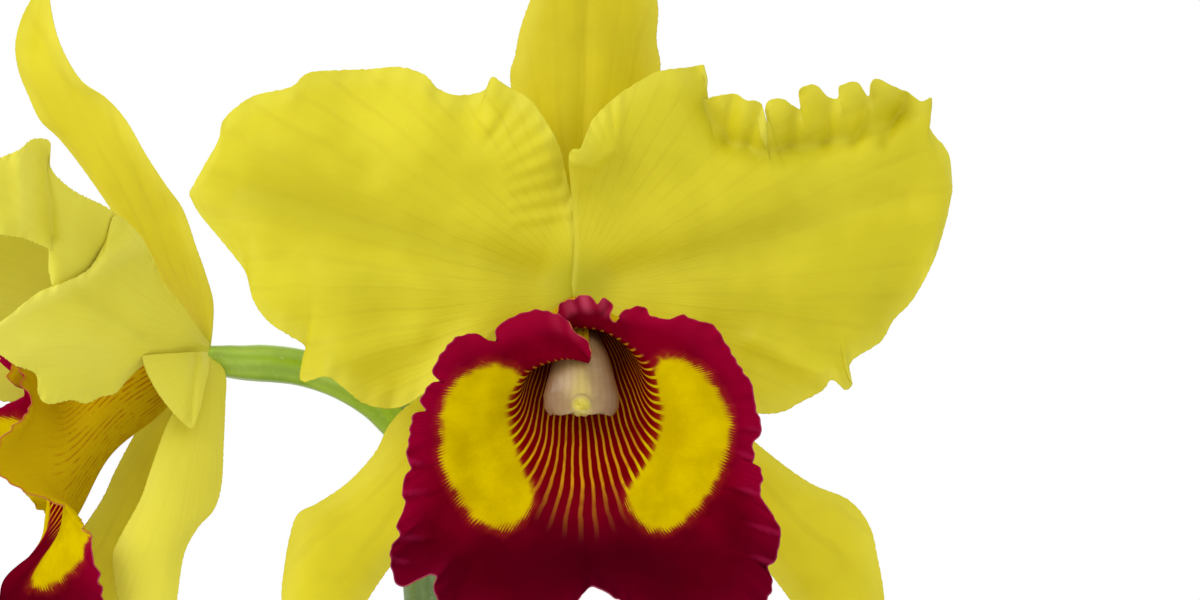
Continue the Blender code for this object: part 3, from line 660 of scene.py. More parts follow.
LEFT_PETAL = (
    ((1, 1.6), (0.2, 8), (-0.6, 14), (-2.4, 22.4), (-3.3, 26.1), (-5.2, 30.2), (-8.8, 35.3),
     (-13.1, 37.9), (-15.6, 39.6), (-16.2, 39.2), (-17.5, 37), (-22.3, 36.2), (-25.9, 37.5), (-28.2, 39.9),
     (-32.8, 41.4), (-38.5, 41), (-43.8, 40.8), (-49.7, 40.3), (-53, 37.7), (-59.4, 36.2), (-63.1, 33.9),
     (-65.5, 31.3), (-66.2, 28), (-69.6, 21.9), (-71.5, 18.4)),
    ((0.6, -2.6), (-8.8, -6.1), (-16.2, -9.4), (-19.9, -11.6), (-25.4, -16.2), (-30.9, -20.4), (-35, -21.5),
     (-39.7, -20.4), (-43.4, -17.5), (-46.4, -15.6), (-50.4, -16.6), (-51.2, -15.2), (-50.2, -12.6),
     (-50.4, -9.9), (-52.8, -8.3), (-57, -5.5), (-59.8, -1.5), (-61.3, 3.7), (-65.5, 9.2), (-69.6, 14.2),
     (-71.5, 17.6)))

RIGHT_PETAL = (
    ((-1.2, 1.6), (-0.8, 9), (-1.2, 17), (-1.7, 25.2), (0.4, 26.5), (1.3, 28.5), (2.6, 31.6), (5, 34.2),
     (8.1, 36.8), (12.3, 39.4), (15.1, 40.7), (20.6, 41.4), (23, 41.8), (23, 41), (22.3, 35.8),
     (26.1, 36.2), (28.9, 36.4), (30.9, 35.3), (33.3, 35), (33.8, 33.8), (33, 31.8), (33.7, 30.4),
     (34.8, 31.4), (34.4, 33.6), (34.9, 35), (36.2, 35.6),
     (38.1, 35.3), (40.8, 33.7), (40.7, 37.2), (43.6, 38.1), (46, 35.9), (47.8, 35.7), (48.2, 37.9),
     (51.3, 38.6), (53.4, 35.9), (53.9, 38.5), (55.2, 39.2), (58.3, 37.7), (60.5, 36.8), (63.1, 35.1),
     (65, 35.7), (63.8, 32.8), (65.1, 29.4), (67, 27.2), (68.3, 24.7), (68.8, 19.4)),
    ((-0.6, -2.6), (5.9, -4), (13.2, -7.9), (20.6, -13.4), (28, -19.9), (32.9, -22.3), (37.5, -22.1),
     (40.8, -20.4), (44.9, -18.2), (46.7, -16.2), (49.1, -18), (50.4, -17.1), (49.7, -15.3),
     (50.6, -12.5), (55.6, -9.2), (58, -5.2), (61.5, -1.5), (65.3, 5.5), (67.7, 13.2), (68.8, 18.6)))

DORSAL = (
    ((-3, 3), (-6.5, 14), (-10.5, 28), (-12.5, 39), (-11.6, 43.6), (-10.7, 48.2), (-8.8, 53.7),
     (-5, 62.5), (1, 72.5)),
    ((3, 3), (8, 14), (13.5, 30), (15.1, 40.7), (14.4, 46.4), (14.5, 53.7), (11, 62.5),
     (2.2, 72.5)))

LEFT_LATERAL = (
    ((-3.2, -2.6), (-16, -12), (-29.6, -19.7), (-34.6, -24.3), (-37.4, -29.6), (-42.3, -35),
     (-47.8, -38.8), (-51.5, -40.8), (-53, -44.7), (-54.1, -50.8), (-54.6, -56.7), (-53.8, -66),
     (-51.2, -74.6)),
    ((-0.8, -4.6), (-8, -15), (-16, -28), (-25, -39.5), (-32, -47.5), (-35.1, -51.2),
     (-38.8, -56.7), (-44.5, -66), (-50.4, -75)))

RIGHT_LATERAL = (
    ((3.2, -2.6), (16, -13.5), (32.9, -28), (42.3, -35), (49.7, -38.3), (53.5, -42.9), (55, -48.6),
     (56.3, -56.7), (56, -66), (53.4, -74.6)),
    ((0.8, -4.6), (8, -15), (16, -28), (25, -39.5), (32, -47.8), (35.7, -52.3), (39, -56.7),
     (45.5, -66), (52.4, -75)))


def left_petal_depth(x, z, u, v):
    depth = bow(u, -2.4, -8.0, 4.0) + across_cup(u, v, -2.0)
    depth += 1.4 * edge_frill(u, v, 1.5, 5, (11, 12)) + 0.22 * edge_frill(u, v, 12, 26, (13, 14), 0.12)
    depth += creases(x, z, ((-8, 3), (-62, 19), 4.2, 1.8), ((-30, 2), (-58, 4), 7.0, -2.0),
                     ((-46, -14), (-30, -8), 3.4, -1.2), ((-44, 38), (-38, 24), 4.0, 0.8),
                     ((-25, 38), (-20, 28), 4.0, 1.0), ((-15, 40), (-17, 31), 2.0, -1.4))
    for mx, mz, turn in LEFT_PUCKERS:
        inward = (mx - 10 * math.cos(math.radians(turn)), mz - 10 * math.sin(math.radians(turn)))
        depth += crease(x, z, (mx, mz), inward, 1.0, -0.38)
    return depth + 0.7 * cloud(x, z, 26.0, 5) * smooth(0.05, 0.3, u)


# Where a short pucker starts on the left petal's inner edge, and its bearing.
LEFT_PUCKERS = ((-1.6, 14.5, 8), (-2.2, 18, 12), (-2.8, 21.5, 16), (-3.6, 25, 22), (-5, 28.5, 30),
                (-7, 31.5, 40), (-9.5, 34.2, 50), (-12.5, 36.6, 58))


# The right petal's upper edge is a ruffle that turns up along this line.
RUFFLE_LINE = ((22, 41.5), (23.5, 34), (27, 28), (33, 25.5), (41, 26.5), (49, 28.5), (60, 33))

# Each slit in the ruffle: x at its top and x at its foot.
RUFFLE_SLITS = ((34.0, 31.5), (40.8, 39.0), (46.9, 45.5), (53.4, 51.0), (60.0, 56.5), (28.5, 27.5))


# Painted shade in the trough below the ruffle and along a crease from the foot, and a little painted shade
# over the whole right petal.
def right_petal_shade(x, z):
    shade = strongest(x, z, *((*ends, 2.2, 0.45) for ends in zip(RUFFLE_LINE[1:-2], RUFFLE_LINE[2:-1])),
                      ((4, 1), (44, 12), 4.2, 0.30))
    return 0.7 * shade + 0.10


# Painted shade along two creases of the left petal.
def left_petal_shade(x, z):
    return 0.7 * strongest(x, z, ((-6, 1), (-60, 18), 3.6, 0.30), ((-20, 4), (-48, 0), 4.5, 0.2))


def right_petal_depth(x, z, u, v):
    depth = bow(u, -3.4, -8.0, 4.0) + across_cup(u, v, -2.0)
    depth += 1.4 * edge_frill(u, v, 1.5, 5, (21, 22)) + 0.2 * edge_frill(u, v, 12, 26, (23, 24), 0.12)
    depth += creases(x, z, ((8, 3), (60, 17), 4.2, 1.8), ((28, 0), (58, 2), 7.0, -1.6),
                     ((33, -9), (48, -17), 2.4, -1.6), ((30, -19), (24, -8), 3.0, 0.8))
    depth -= 5.5 * np.exp(-(((x + 1.5) / 5.5) ** 2 + ((z - 25.5) / 6.5) ** 2))
    depth += strongest(x, z, *((*ends, 2.6, 2.4) for ends in zip(RUFFLE_LINE, RUFFLE_LINE[1:])))
    for k in range(7):                       # puckers that fan over the curled lobe
        angle = math.radians(88 + 13 * k)
        depth += crease(x, z, (7 + 4 * math.cos(angle), 22 + 4 * math.sin(angle)),
                        (7 + 15 * math.cos(angle), 22 + 15 * math.sin(angle)), 0.9, -0.6)
    for slit_x, foot_x in RUFFLE_SLITS:
        depth += crease(x, z, (slit_x, 36.0), (foot_x, 27.5), 1.3, 1.3)
    return depth + 0.7 * cloud(x, z, 26.0, 6) * smooth(0.05, 0.3, u)


def dorsal_depth(x, z, u, v):
    depth = bow(u, 2.6, 6.0, 1.0) + across_cup(u, v, 2.6)
    return depth + crease(x, z, (0, 8), (2, 66), 1.6, 0.8) + 0.35 * cloud(x, z, 20.0, 7)


def lateral_depth(x, z, u, v):
    depth = bow(u, 2.6, 9.0, 5.0) + across_cup(u, v, 2.4)
    return depth + 0.7 * edge_frill(u, v, 2, 5, (31, 32)) + 0.4 * cloud(x, z, 18.0, 8)


def make_front_sheets():
    sepal = {"columns": 44, "teeth": 0.06}
    make_organ("front_petal_left", *LEFT_PETAL, left_petal_depth, "petal", (2.0, 0.0), seeds=(3, 4),
               teeth=0.09, shade_and_highlight_of=left_petal_shade)
    make_organ("front_petal_right", *RIGHT_PETAL, right_petal_depth, "petal", (-2.0, 0.0), rows=400,
               seeds=(5, 6), teeth=0.07, shade_and_highlight_of=right_petal_shade)
    make_organ("front_dorsal_sepal", *DORSAL, dorsal_depth, "sepal", (0.0, -6.0), seeds=(7, 8), **sepal)
    make_organ("front_lateral_sepal_left", *LEFT_LATERAL, lateral_depth, "sepal", (4.0, 4.0), seeds=(9, 10),
               look="sepal_painted_light", **sepal)
    make_organ("front_lateral_sepal_right", *RIGHT_LATERAL, lateral_depth, "sepal", (-4.0, 4.0),
               seeds=(15, 16), look="sepal_painted_light", **sepal)


# The side flower: edges as seen from the front, with their own depth.
SIDE_DORSAL = (
    ((-0.2, 1.5, 0.8), (-2.6, 6, 3.4), (-7.4, 9, 9.6), (-12.6, 9, 18), (-17.5, 8, 26.1),
     (-23, 6.5, 34), (-27, 5, 39), (-30.4, 3, 42.3), (-32.6, 1, 46.9), (-34.4, -1, 51.5),
     (-35, -3, 56.1), (-34, -5, 60.7), (-32.2, -6, 64.4), (-29.4, -6.8, 69)),
    ((0.8, -1.5, 0.2), (1.3, -5.5, 4.5), (1.3, -9, 9.2), (-0.2, -10.5, 14.5), (-1.8, -12, 19),
     (-4.2, -13, 25.8), (-7.4, -14, 30.4), (-11, -14, 35.9), (-14.7, -13.6, 42.3), (-18.4, -13, 46.4),
     (-23, -12, 49.7), (-26.7, -10.5, 56.1), (-28.5, -8, 63), (-28.8, -7.2, 69)))

# The near petal is rolled: its lower lobe ends in a ridge in front of the upper
# lobe, and between the two tips a bay lets the far petal show.
SIDE_NEAR_PETAL = (
    ((0.6, -2.6, 1.4), (-1.6, -7.4, 4.2), (-4.4, -11, 8.4), (-7.8, -13.5, 12.5), (-10.1, -16.5, 17.8),
     (-12.5, -20, 21.6), (-16.6, -23.6, 24.8), (-18.4, -25.6, 20), (-21.4, -28.3, 15), (-26.1, -32.5, 12.4),
     (-31, -36, 10.4), (-37.7, -41, 5.2), (-42, -43.5, 4), (-44.5, -45, 3.2)),
    ((0.4, -3, -0.6), (-6.4, -11, -1.6), (-11, -14, -2.6), (-14.2, -17, -5.2), (-16.6, -19.5, -7.9),
     (-19.3, -22, -8.6), (-22.1, -25, -9.8), (-24.8, -28, -9.2), (-28.9, -32, -9.9),
     (-30.7, -34, -8.3), (-31.3, -36, -4.4), (-35, -39, -2.8), (-37.7, -41, -0.9),
     (-41.5, -43, 1), (-44.3, -45, 2.4)))
SIDE_PETAL_UPPER = (
    ((-9, -14.5, 15), (-12.5, -19.5, 21.2), (-17.5, -24, 25.8), (-23.9, -30, 29.1), (-27.6, -33, 32.2),
     (-28.9, -35, 35), (-28.7, -36, 38.4), (-31.8, -38, 38.8), (-34.4, -40, 36.8),
     (-37.7, -41.5, 35.4), (-41.5, -43, 33), (-46, -45.5, 29)),
    ((-9.5, -14, 13.5), (-14, -19.8, 14), (-18.5, -24.4, 12), (-23, -28, 9.5), (-27, -30.6, 10),
     (-28.8, -31, 14.4), (-28.3, -32, 17.9), (-31, -34, 19.6), (-34.1, -37, 20.7),
     (-37.8, -40, 21.3), (-42, -43, 23), (-45.8, -45.5, 27.5)))
SIDE_FAR_PETAL = (
    ((0.4, -2.6, 0.6), (-5.5, -11, 7), (-10.1, -16.5, 17.5), (-17.5, -24, 25.8), (-23.9, -30, 29.1),
     (-28.9, -35, 34), (-34.4, -40, 36.8), (-37.7, -41.5, 35), (-44.2, -45, 29.4), (-48.6, -47, 20.8)),
    ((0.4, -3, -0.6), (-6.4, -11, -2), (-14.2, -17, -5.2), (-19.3, -22, -8.6), (-24.8, -28, -9.6),
     (-30.7, -34, -8.3), (-35, -39, -2.8), (-43.2, -45, 5.5), (-48, -47, 17.5)))
# The near petal's foot has a corner that folds down over the sepal.
SIDE_PETAL_FLAP = (
    ((-11.8, -17, -1), (-10.8, -18, -4.2), (-8.5, -19, -8.3), (-5.6, -18.6, -12), (-2.8, -17.6, -14.6)),
    ((0.4, -6, -0.4), (0.5, -10, -3.7), (-0.3, -13, -7.4), (-1, -15, -10.8), (-2.3, -17.2, -14.4)))


def flap_depth(x, z, u, v):
    return crease(x, z, (-1.9, -1.5), (-3.0, -13.0), 0.7, 1.0) - 1.2 * arch(v) * (1 - u)


SIDE_NEAR_LATERAL = (
    ((1.2, -1.2, -0.8), (3.6, -3.4, -4.4), (3.6, -6.5, -10), (3.3, -11, -17.5), (2.9, -14, -24.8),
     (1.5, -16.5, -29.4), (-1.5, -18.5, -32.8), (-4, -20.5, -37.7), (-5.3, -24, -46),
     (-6.6, -25.5, -54), (-8.2, -26.4, -62)),
    ((0.2, -2.4, -1.2), (-2.5, -7.5, -5.5), (-5.5, -12, -10.8), (-7.4, -14, -14.5), (-10.1, -18, -22.1),
     (-12, -20, -27.6), (-16, -23, -35), (-17.1, -24.4, -38.6), (-16, -26, -46),
     (-12.9, -27, -54.8), (-9.4, -27, -61.7)))


def mirrored(edges):
    """The same edges on the other side of the side flower's mirror plane."""
    nx, ny = math.cos(SIDE_YAW), math.sin(SIDE_YAW)
    result = []
    for edge in edges:
        points = np.array(edge, float)
        over = 2 * (points[:, 0] * nx + points[:, 1] * ny)
        points[:, 0] -= over * nx
        points[:, 1] -= over * ny
        result.append(points)
    return result


def side_petal_depth(x, z, u, v):
    total = -3.2 * arch(v) * arch(u) + 0.7 * edge_frill(u, v, 2, 5, (41, 42))
    total += 0.25 * edge_frill(u, v, 12, 26, (43, 44), 0.12)
    total += creases(x, z, ((-26, 12), (-12, 20.5), 2.2, -1.5), ((-24, 10.5), (-12, 2.5), 1.8, 1.1),
                     ((-40, 5), (-28, 11.5), 2.0, -1.6), ((-30, 0), (-12, 3), 3.5, -0.8))
    return total + 0.35 * cloud(x, z, 16.0, 9)


def side_petal_shade(x, z):
    """Painted shade (positive) where the lower lobe lies in shade, and a painted highlight (negative) where
    it catches light.
    """
    shade = strongest(x, z, ((-24, 10.5), (-12, 2.5), 1.3, 0.32), ((-4, 0), (-20, 4), 1.4, 0.2))
    light = strongest(x, z, ((-40, 4), (-27, 11.5), 1.5, 0.7), ((-26, 11.5), (-12, 20), 1.8, 0.5))
    return shade - light - crease(x, z, (-36, 1), (-20, -1), 5.0, 0.45)


def side_upper_depth(x, z, u, v):
    total = 0.8 * edge_frill(u, v, 2, 6, (45, 46)) + 0.25 * edge_frill(u, v, 14, 30, (47, 48), 0.12)
    total += creases(x, z, ((-30, 36), (-28.6, 21), 1.5, 1.8), ((-34, 36), (-33, 23), 2.0, -1.4),
                     ((-38, 33), (-30, 27), 1.2, -0.7), ((-24, 27), (-23, 14), 3.5, -1.2))
    return total + 0.3 * cloud(x, z, 12.0, 10)


# Painted shade in the groove and the hollow of the upper lobe, and a painted highlight along the ridge beside
# them.
def side_upper_shade(x, z):
    groove = crease(x, z, (-29.4, 35), (-28.4, 20), 1.3, 0.5)
    hollow = 0.42 * smooth(-28.5, -26.0, x) * smooth(28.0, 20.0, z)
    return np.maximum(groove, hollow) - crease(x, z, (-33.5, 35), (-33, 22), 1.6, 0.5)


def far_petal_depth(x, z, u, v):
    return 3.5 * arch(v) * arch(u) - 0.9 * edge_frill(u, v, 2, 5, (41, 42)) + 0.35 * cloud(x, z, 16.0, 9)


def side_sepal_bulge(amount, seed):
    def depth(x, z, u, v):
        return amount * arch(v) * arch(u) + 0.3 * cloud(x, z, 18.0, seed)
    return depth


def make_side_sheets():
    side = {"offset": SIDE_OFFSET, "facing": (math.sin(SIDE_YAW), -math.cos(SIDE_YAW), 0.0)}
    size = {"rows": 170, "columns": 64}
    sepal = {"teeth": 0.06, "look": "sepal_painted_light", **size, **side}
    make_organ("side_dorsal_sepal", *SIDE_DORSAL, side_sepal_bulge(2.0, 51), "sepal", (2.0, -4.0),
               seeds=(61, 62), **sepal)
    make_organ("side_petal_near", *SIDE_NEAR_PETAL, side_petal_depth, "petal", (3.0, 0.0), rows=260,
               seeds=(63, 64), shade_and_highlight_of=side_petal_shade, teeth=0.10, **side)
    make_organ("side_petal_upper", *SIDE_PETAL_UPPER, side_upper_depth, "petal", (3.0, 0.0), rows=200,
               columns=64, seeds=(73, 74), teeth=0.14, node="side_petal_near", shade_and_highlight_of=side_upper_shade,
               **side)
    make_organ("side_petal_flap", *SIDE_PETAL_FLAP, flap_depth, "petal", (3.0, 0.0), rows=70, columns=40,
               seeds=(71, 72), node="side_petal_near", teeth=0.05, **side)
    # The far petal lies in shade behind the near one: painted shade over its whole face.
    make_organ("side_petal_far", *mirrored(SIDE_FAR_PETAL), far_petal_depth, "petal", (3.0, 0.0),
               seeds=(65, 66), shade_and_highlight_of=lambda x, z: 0.8 + 0 * x, **size, **side)
    make_organ("side_lateral_sepal_near", *SIDE_NEAR_LATERAL, side_sepal_bulge(-2.0, 52), "sepal",
               (2.0, 3.0), seeds=(67, 68), **sepal)
    make_organ("side_lateral_sepal_far", *mirrored(SIDE_NEAR_LATERAL), side_sepal_bulge(2.0, 53), "sepal",
               (2.0, 3.0), seeds=(69, 70), **sepal)


# Lips: rings of the tube (centre x and z, half width, half height, depth at top
# and bottom), then the throat's opening, as (turn from straight up to the left,
# distance from LIP_MIDDLE, depth), and the frilled edge from the left flap over
# the column, round by the left to the right flap behind it, with its depths.
LIP_MIDDLE = (1.0, -20.0)
FRONT_LIP_RINGS = (
    (0, -4.2, 4, 2.8, -3.4, -3.4),
    (0.3, -8.6, 7.4, 5.6, -9, -9),
    (0.6, -13.6, 9.8, 8.8, -14.5, -17))
FRONT_LIP_OPENING = (
    (-0.6, 8.6, -25.4), (-0.24, 7.9, -26.2), (0, 7.5, -26.4), (0.65, 9.2, -26), (1.07, 11.6, -24),
    (1.57, 13, -22.5), (1.98, 13.7, -22.5), (2.4, 14, -23.5), (3.14, 15, -26), (3.9, 14.9, -23.5),
    (4.35, 13.9, -22.5), (4.71, 13.2, -22.5), (5.10, 13.3, -22.5), (5.52, 13, -22.5), (5.95, 13.4, -22),
    (6.28, 13.6, -21), (6.8, 13.8, -20))
FRONT_LIP_EDGE = (
    (2.2, -12.2), (2.3, -10.6), (1.5, -8.9), (-0.8, -7.2), (-1.8, -5.5), (-3.3, -4.4), (-7, -3.3),
    (-10.7, -4), (-14.4, -5.9), (-15.2, -7.4), (-15.4, -9.4), (-16.7, -9), (-19, -7.7), (-22.6, -8.5),
    (-25.4, -11.6), (-26.9, -14.9), (-25.4, -16.4), (-27.2, -16.9), (-29.1, -19.9), (-28.2, -21.9),
    (-30.4, -22.6), (-31.1, -26.3), (-31.6, -30.5), (-30.7, -32.4), (-31.8, -33.7), (-32.4, -36.4),
    (-32, -39.7), (-33.5, -43.1), (-32.8, -44.7), (-34.6, -47.5), (-34, -52.6), (-32.4, -54.3),
    (-28.2, -52.4), (-26.1, -52.3), (-26.7, -54.5), (-25.8, -56.7), (-23.6, -60.7), (-16.2, -63),
    (-8.8, -62), (-3.3, -59.4), (0, -56.7), (2.6, -54.3), (7.4, -56.7), (13.2, -60.3), (20.6, -62.3),
    (28, -61.2), (33.5, -58.3), (35.4, -55.4), (35.7, -53), (34.8, -50.6), (36.2, -49.7), (37.2, -45.6),
    (37, -43.2), (34.6, -39.2), (33.5, -37.4), (33.9, -34.6), (33.5, -32.4), (32, -31.5), (32.6, -30),
    (32, -28.2), (33.5, -26.3), (33.7, -24.5), (32.6, -20.8), (32, -17.1), (29.8, -13.8), (27.6, -10.1),
    (25.4, -6.6), (23.9, -5.7), (21.5, -5.2), (19.3, -4.2), (16.6, -5), (13.6, -4.4), (11.6, -2.6),
    (8.1, -3.7), (6.8, -5.6), (5.8, -4.4), (6.4, -2.4), (4.6, -1.2), (3.4, -2.2), (2.2, -0.8), (0.4, -0.6),
    (-0.9, -1.5), (-2.2, -1.4), (-3.5, -2.6), (-3.9, -4.8), (-3.6, -7))
FRONT_LIP_DEPTHS = (-28.5, -27.5, -28.0, -38.0, -28.0, -26.5, -25.0)

SIDE_LIP_RINGS = (
    (0, -1.8, 4.4, 4.4, -3.4, -3.4),
    (0, -5, 7, 7.4, -9.5, -9.5),
    (0, -10.5, 9.4, 9.4, -17.5, -18.5))
SIDE_LIP_OPENING = (
    (-0.6, 11, -27), (0, 11, -27), (0.8, 11.5, -27.5), (1.57, 13, -28), (2.3, 13, -27),
    (3.14, 13, -26), (3.98, 13, -27), (4.71, 13, -28), (5.48, 11.5, -27.5), (6.28, 11, -27),
    (6.9, 11, -26))
# Right half of the side lip's edge as (x, depth, z), from the top downwards.
SIDE_LIP_HALF_EDGE = (
    (3, -36, -2.2), (7, -37, -0.8), (11, -36, -1.6), (15, -34.5, -5), (18, -34, -9),
    (19, -39, -12.5), (20.5, -42, -16), (20.5, -40, -21), (20, -35, -25.5),
    (19, -29.5, -28.8), (22, -27, -30.6), (25, -25.5, -31.6), (27.5, -23, -34.6),
    (28, -24.5, -38.5), (28, -23.5, -43), (27.5, -22.5, -47), (24, -25, -53),
    (17, -31, -57), (9, -36, -57.5), (3, -38, -54))

LEFT_EYE = ((-12, -13.6), (-10.6, -15.6), (-12, -20), (-11.4, -26), (-9.4, -32), (-8, -37),
            (-9.4, -41), (-13, -43.6), (-17, -43.2), (-21.4, -39.4), (-24.4, -33.5), (-25.4, -27),
            (-24.6, -20), (-21, -15), (-16, -13.2))
RIGHT_EYE = ((15.4, -12.4), (13.8, -15.6), (14.2, -22), (13, -28), (10.6, -33.5), (9, -38),
             (11, -42.4), (15.6, -44), (20.6, -41.6), (25, -36), (27.6, -29), (27.6, -22),
             (24.6, -16), (19.6, -12.4))
# Narrow folds of a lip: x at the edge, height there, length, and rise inwards.
LIP_FOLDS = ((-31.5, -31, 6, 0.5), (-32.5, -37, 9, 2.5), (-33.5, -45, 11, 1), (-34.5, -49, 7, 0),
             (33.5, -25.5, 5, -0.5), (33, -31, 8, 1.5), (34, -37.5, 10, 1.5), (37, -44.5, 12, 2),
             (36, -50, 9, 1))
LIP_STATIONS = (0.0, 0.12, 0.26, 0.42, 0.70, 1.0)   # where the rings lie from base to edge


def softened(values, half=14):
    """The values averaged over their neighbours on either side."""
    window = np.hanning(2 * half + 1)
    return np.convolve(np.pad(values, half, mode="edge"), window / window.sum(), mode="valid")


def make_lip(name, rings, opening, edge, depths, ruffles, seed, to_world, bulge=0.0, fan_foot=-47.0,
             rows=150, columns=560):
    """A trumpet from the column's foot to the frilled edge, open along the top,
    where the left flap lies over the right one."""
    t = np.linspace(0, 1, columns)
    margin = even(edge, columns)
    turn = np.unwrap(np.arctan2(LIP_MIDDLE[0] - margin[:, 0], margin[:, -1] - LIP_MIDDLE[1]))
    turn -= 2 * np.pi * np.round(turn[columns // 10] / (2 * np.pi))
    turn = softened(turn)
    lower = 0.5 - 0.5 * np.cos(turn)
    over = 0.6 * (smooth(0.12, 0.0, t) - smooth(0.88, 1.0, t))
    stations = []
    for x, z, wide, high, top, bottom in rings:
        grow = 1 + over / wide
        stations.append(np.stack((x - wide * grow * np.sin(turn), top + (bottom - top) * lower,
                                  z + high * grow * np.cos(turn)), axis=1))
    angle, distance, depth = (np.array(column) for column in zip(*opening))
    radius = softened(np.interp(turn, angle, distance))
    stations.append(np.stack((LIP_MIDDLE[0] - radius * np.sin(turn), np.interp(turn, angle, depth),
                              LIP_MIDDLE[1] + radius * np.cos(turn)), axis=1))
    rim_depth = margin[:, 1] if margin.shape[1] == 3 else spline([(d,) for d in depths], t)[:, 0]
    rim = np.stack((margin[:, 0], rim_depth, margin[:, -1]), axis=1)
    soft_rim = calm(rim, columns / 60)
    middle = 0.50 * stations[-1] + 0.50 * soft_rim
    middle[:, 1] -= 1.4 * np.sin(turn) ** 2 + bulge * smooth(0.7, 1.0, lower)
    stations += [middle, soft_rim]
    s = np.linspace(0, 1, rows) ** 0.85
    where = np.interp(s, LIP_STATIONS, np.linspace(0, 1, len(stations)))
    points = spline(np.stack(stations), where)
    points += (rim - soft_rim)[None] * (smooth(0.80, 1.0, s) ** 1.3)[:, None, None]

    u = np.repeat(s[:, None], columns, axis=1)
    x, z = points[..., 0].copy(), points[..., 2].copy()
    big, small = smooth(0.62, 1.0, u) ** 1.5, smooth(0.86, 1.0, u) ** 1.3
    wave = ripple(t, *ruffles, seed)[None, :]
    fine = ripple(t, 45, 90, seed + 1)[None, :]
    sides = 0.40 + 0.60 * np.abs(np.sin(turn))[None, :] + 0.3 * smooth(0.8, 1.0, lower)[None, :]
    points[..., 1] += 2.1 * big * wave * sides + 0.40 * small * fine
    outward = rim - stations[-2]
    outward[:, 1] = 0
    outward /= np.linalg.norm(outward, axis=1, keepdims=True) + 1e-9
    points += outward[None] * (0.16 * smooth(0.95, 1.0, u) * ripple(t, 70, 140, seed + 2)[None, :])[..., None]
    points[..., 1] += crease(x, z, (1.5, -30.0), (2.6, -54.0), 2.2, 1.0) * smooth(0.45, 0.6, u)
    folds = np.zeros_like(x)
    for edge_x, height, long, drop in LIP_FOLDS:   # narrow folds that run in from the edge
        inner = edge_x - math.copysign(long, edge_x)
        sag = 0.9 * np.sin((x - edge_x) / long * 2.4)
        fold = crease(x, z + sag, (edge_x, height), (inner, height + drop), 0.7, 1.0)
        folds = np.maximum(folds, fold * smooth(1.0, 0.1, np.abs(x - edge_x) / (long + 1.5)))
    folds *= smooth(0.60, 0.85, u)
    points[..., 1] -= folds
    crown = creases(x, z, ((-2, -1), (1.2, -8), 0.7, -1.3), ((6, -2), (2.6, -7), 0.7, 1.2))
    points[..., 1] += crown * smooth(0.66, 0.85, u)
    points[..., 1] += 0.25 * cloud(x, z, 9.0, seed + 3) * smooth(0.45, 0.7, u)

    length = np.linalg.norm(rim - stations[0], axis=1)[None, :]
    eye = np.maximum(inside(x, z, LEFT_EYE), inside(x, z, RIGHT_EYE))
    eye = np.where(u > 0.38, eye, -6.0)
    fan = smooth(fan_foot, fan_foot + 17.0, z - 0.05 * (x - 1) ** 2)
    fan = fan * smooth(20.0, 13.0, np.abs(x - 1.0)) * smooth(-14, -24, z)
    low_spot = np.exp(-(((x - 1.5) / 18.0) ** 2 + ((z + 48.0) / 12.0) ** 2))
    dark = 0.62 * smooth(-38.0, -50.0, z) + 0.38 * low_spot
    # Stripes across the crown that paint the light and shade of its small folds.
    crown_fold_light = 0.55 + 0.45 * np.sin(1.9 * x + 0.5 * z)
    crown = np.exp(-((x - 1.2) / 4.2) ** 2) * smooth(-10.0, -3.0, z) * smooth(0.66, 0.9, u) * crown_fold_light
    # Where the edge's waves crest, and below where the narrow folds run: the painted highlight's mask.
    wave_crest = smooth(1.0, 1.8, -wave * sides) * smooth(0.86, 0.99, u)
    fields = {
        "eye": eye,
        "throat": np.maximum(smooth(0.50, 0.43, u), fan),
        "dark": dark * smooth(0.45, 0.6, u),
        "edge": (1 - u) * length,
        "lobe": smooth(-34.0, -40.0, z) * smooth(0.5, 0.7, u),
        "crown": crown,
        "top": smooth(-14.0, -5.0, z) * smooth(0.72, 0.98, u),
        "crest_highlight": np.maximum(wave_crest, 0.8 * smooth(0.55, 1.0, folds)),
    }
    uv = np.stack((u, np.broadcast_to(turn / (2 * np.pi), u.shape)), axis=-1)
    taper = 0.35 + 0.65 * smooth(0.0, 3.0, fields["edge"])
    return shell(name, to_world(points), 0.6 * MM * taper, "lip", fields, uv)


def side_world(points):
    """World points from the side flower's own right, depth and up."""
    turned = np.stack((points[..., 0] * math.cos(SIDE_YAW) - points[..., 1] * math.sin(SIDE_YAW),
                       points[..., 0] * math.sin(SIDE_YAW) + points[..., 1] * math.cos(SIDE_YAW),
                       points[..., 2]), axis=-1)
    return np.array(seen(np.array(SIDE_OFFSET))) + turned * MM


# Column: centre line (x, depth, z), then half width and half height by place.
COLUMN_LINE = ((0, -3, -4.4), (0.1, -8, -6.6), (0.3, -14.5, -9.4), (0.45, -20.2, -12.4),
               (0.55, -23.6, -17.4), (0.6, -24.8, -22.6))
COLUMN_WIDE = ((0.0, 2.6), (0.25, 3.3), (0.5, 4.4), (0.7, 5.8), (0.86, 7.0), (0.95, 6.9), (1.0, 6.0))
COLUMN_HIGH = ((0.0, 2.6), (0.3, 3.0), (0.6, 3.6), (0.85, 3.2), (1.0, 2.4))


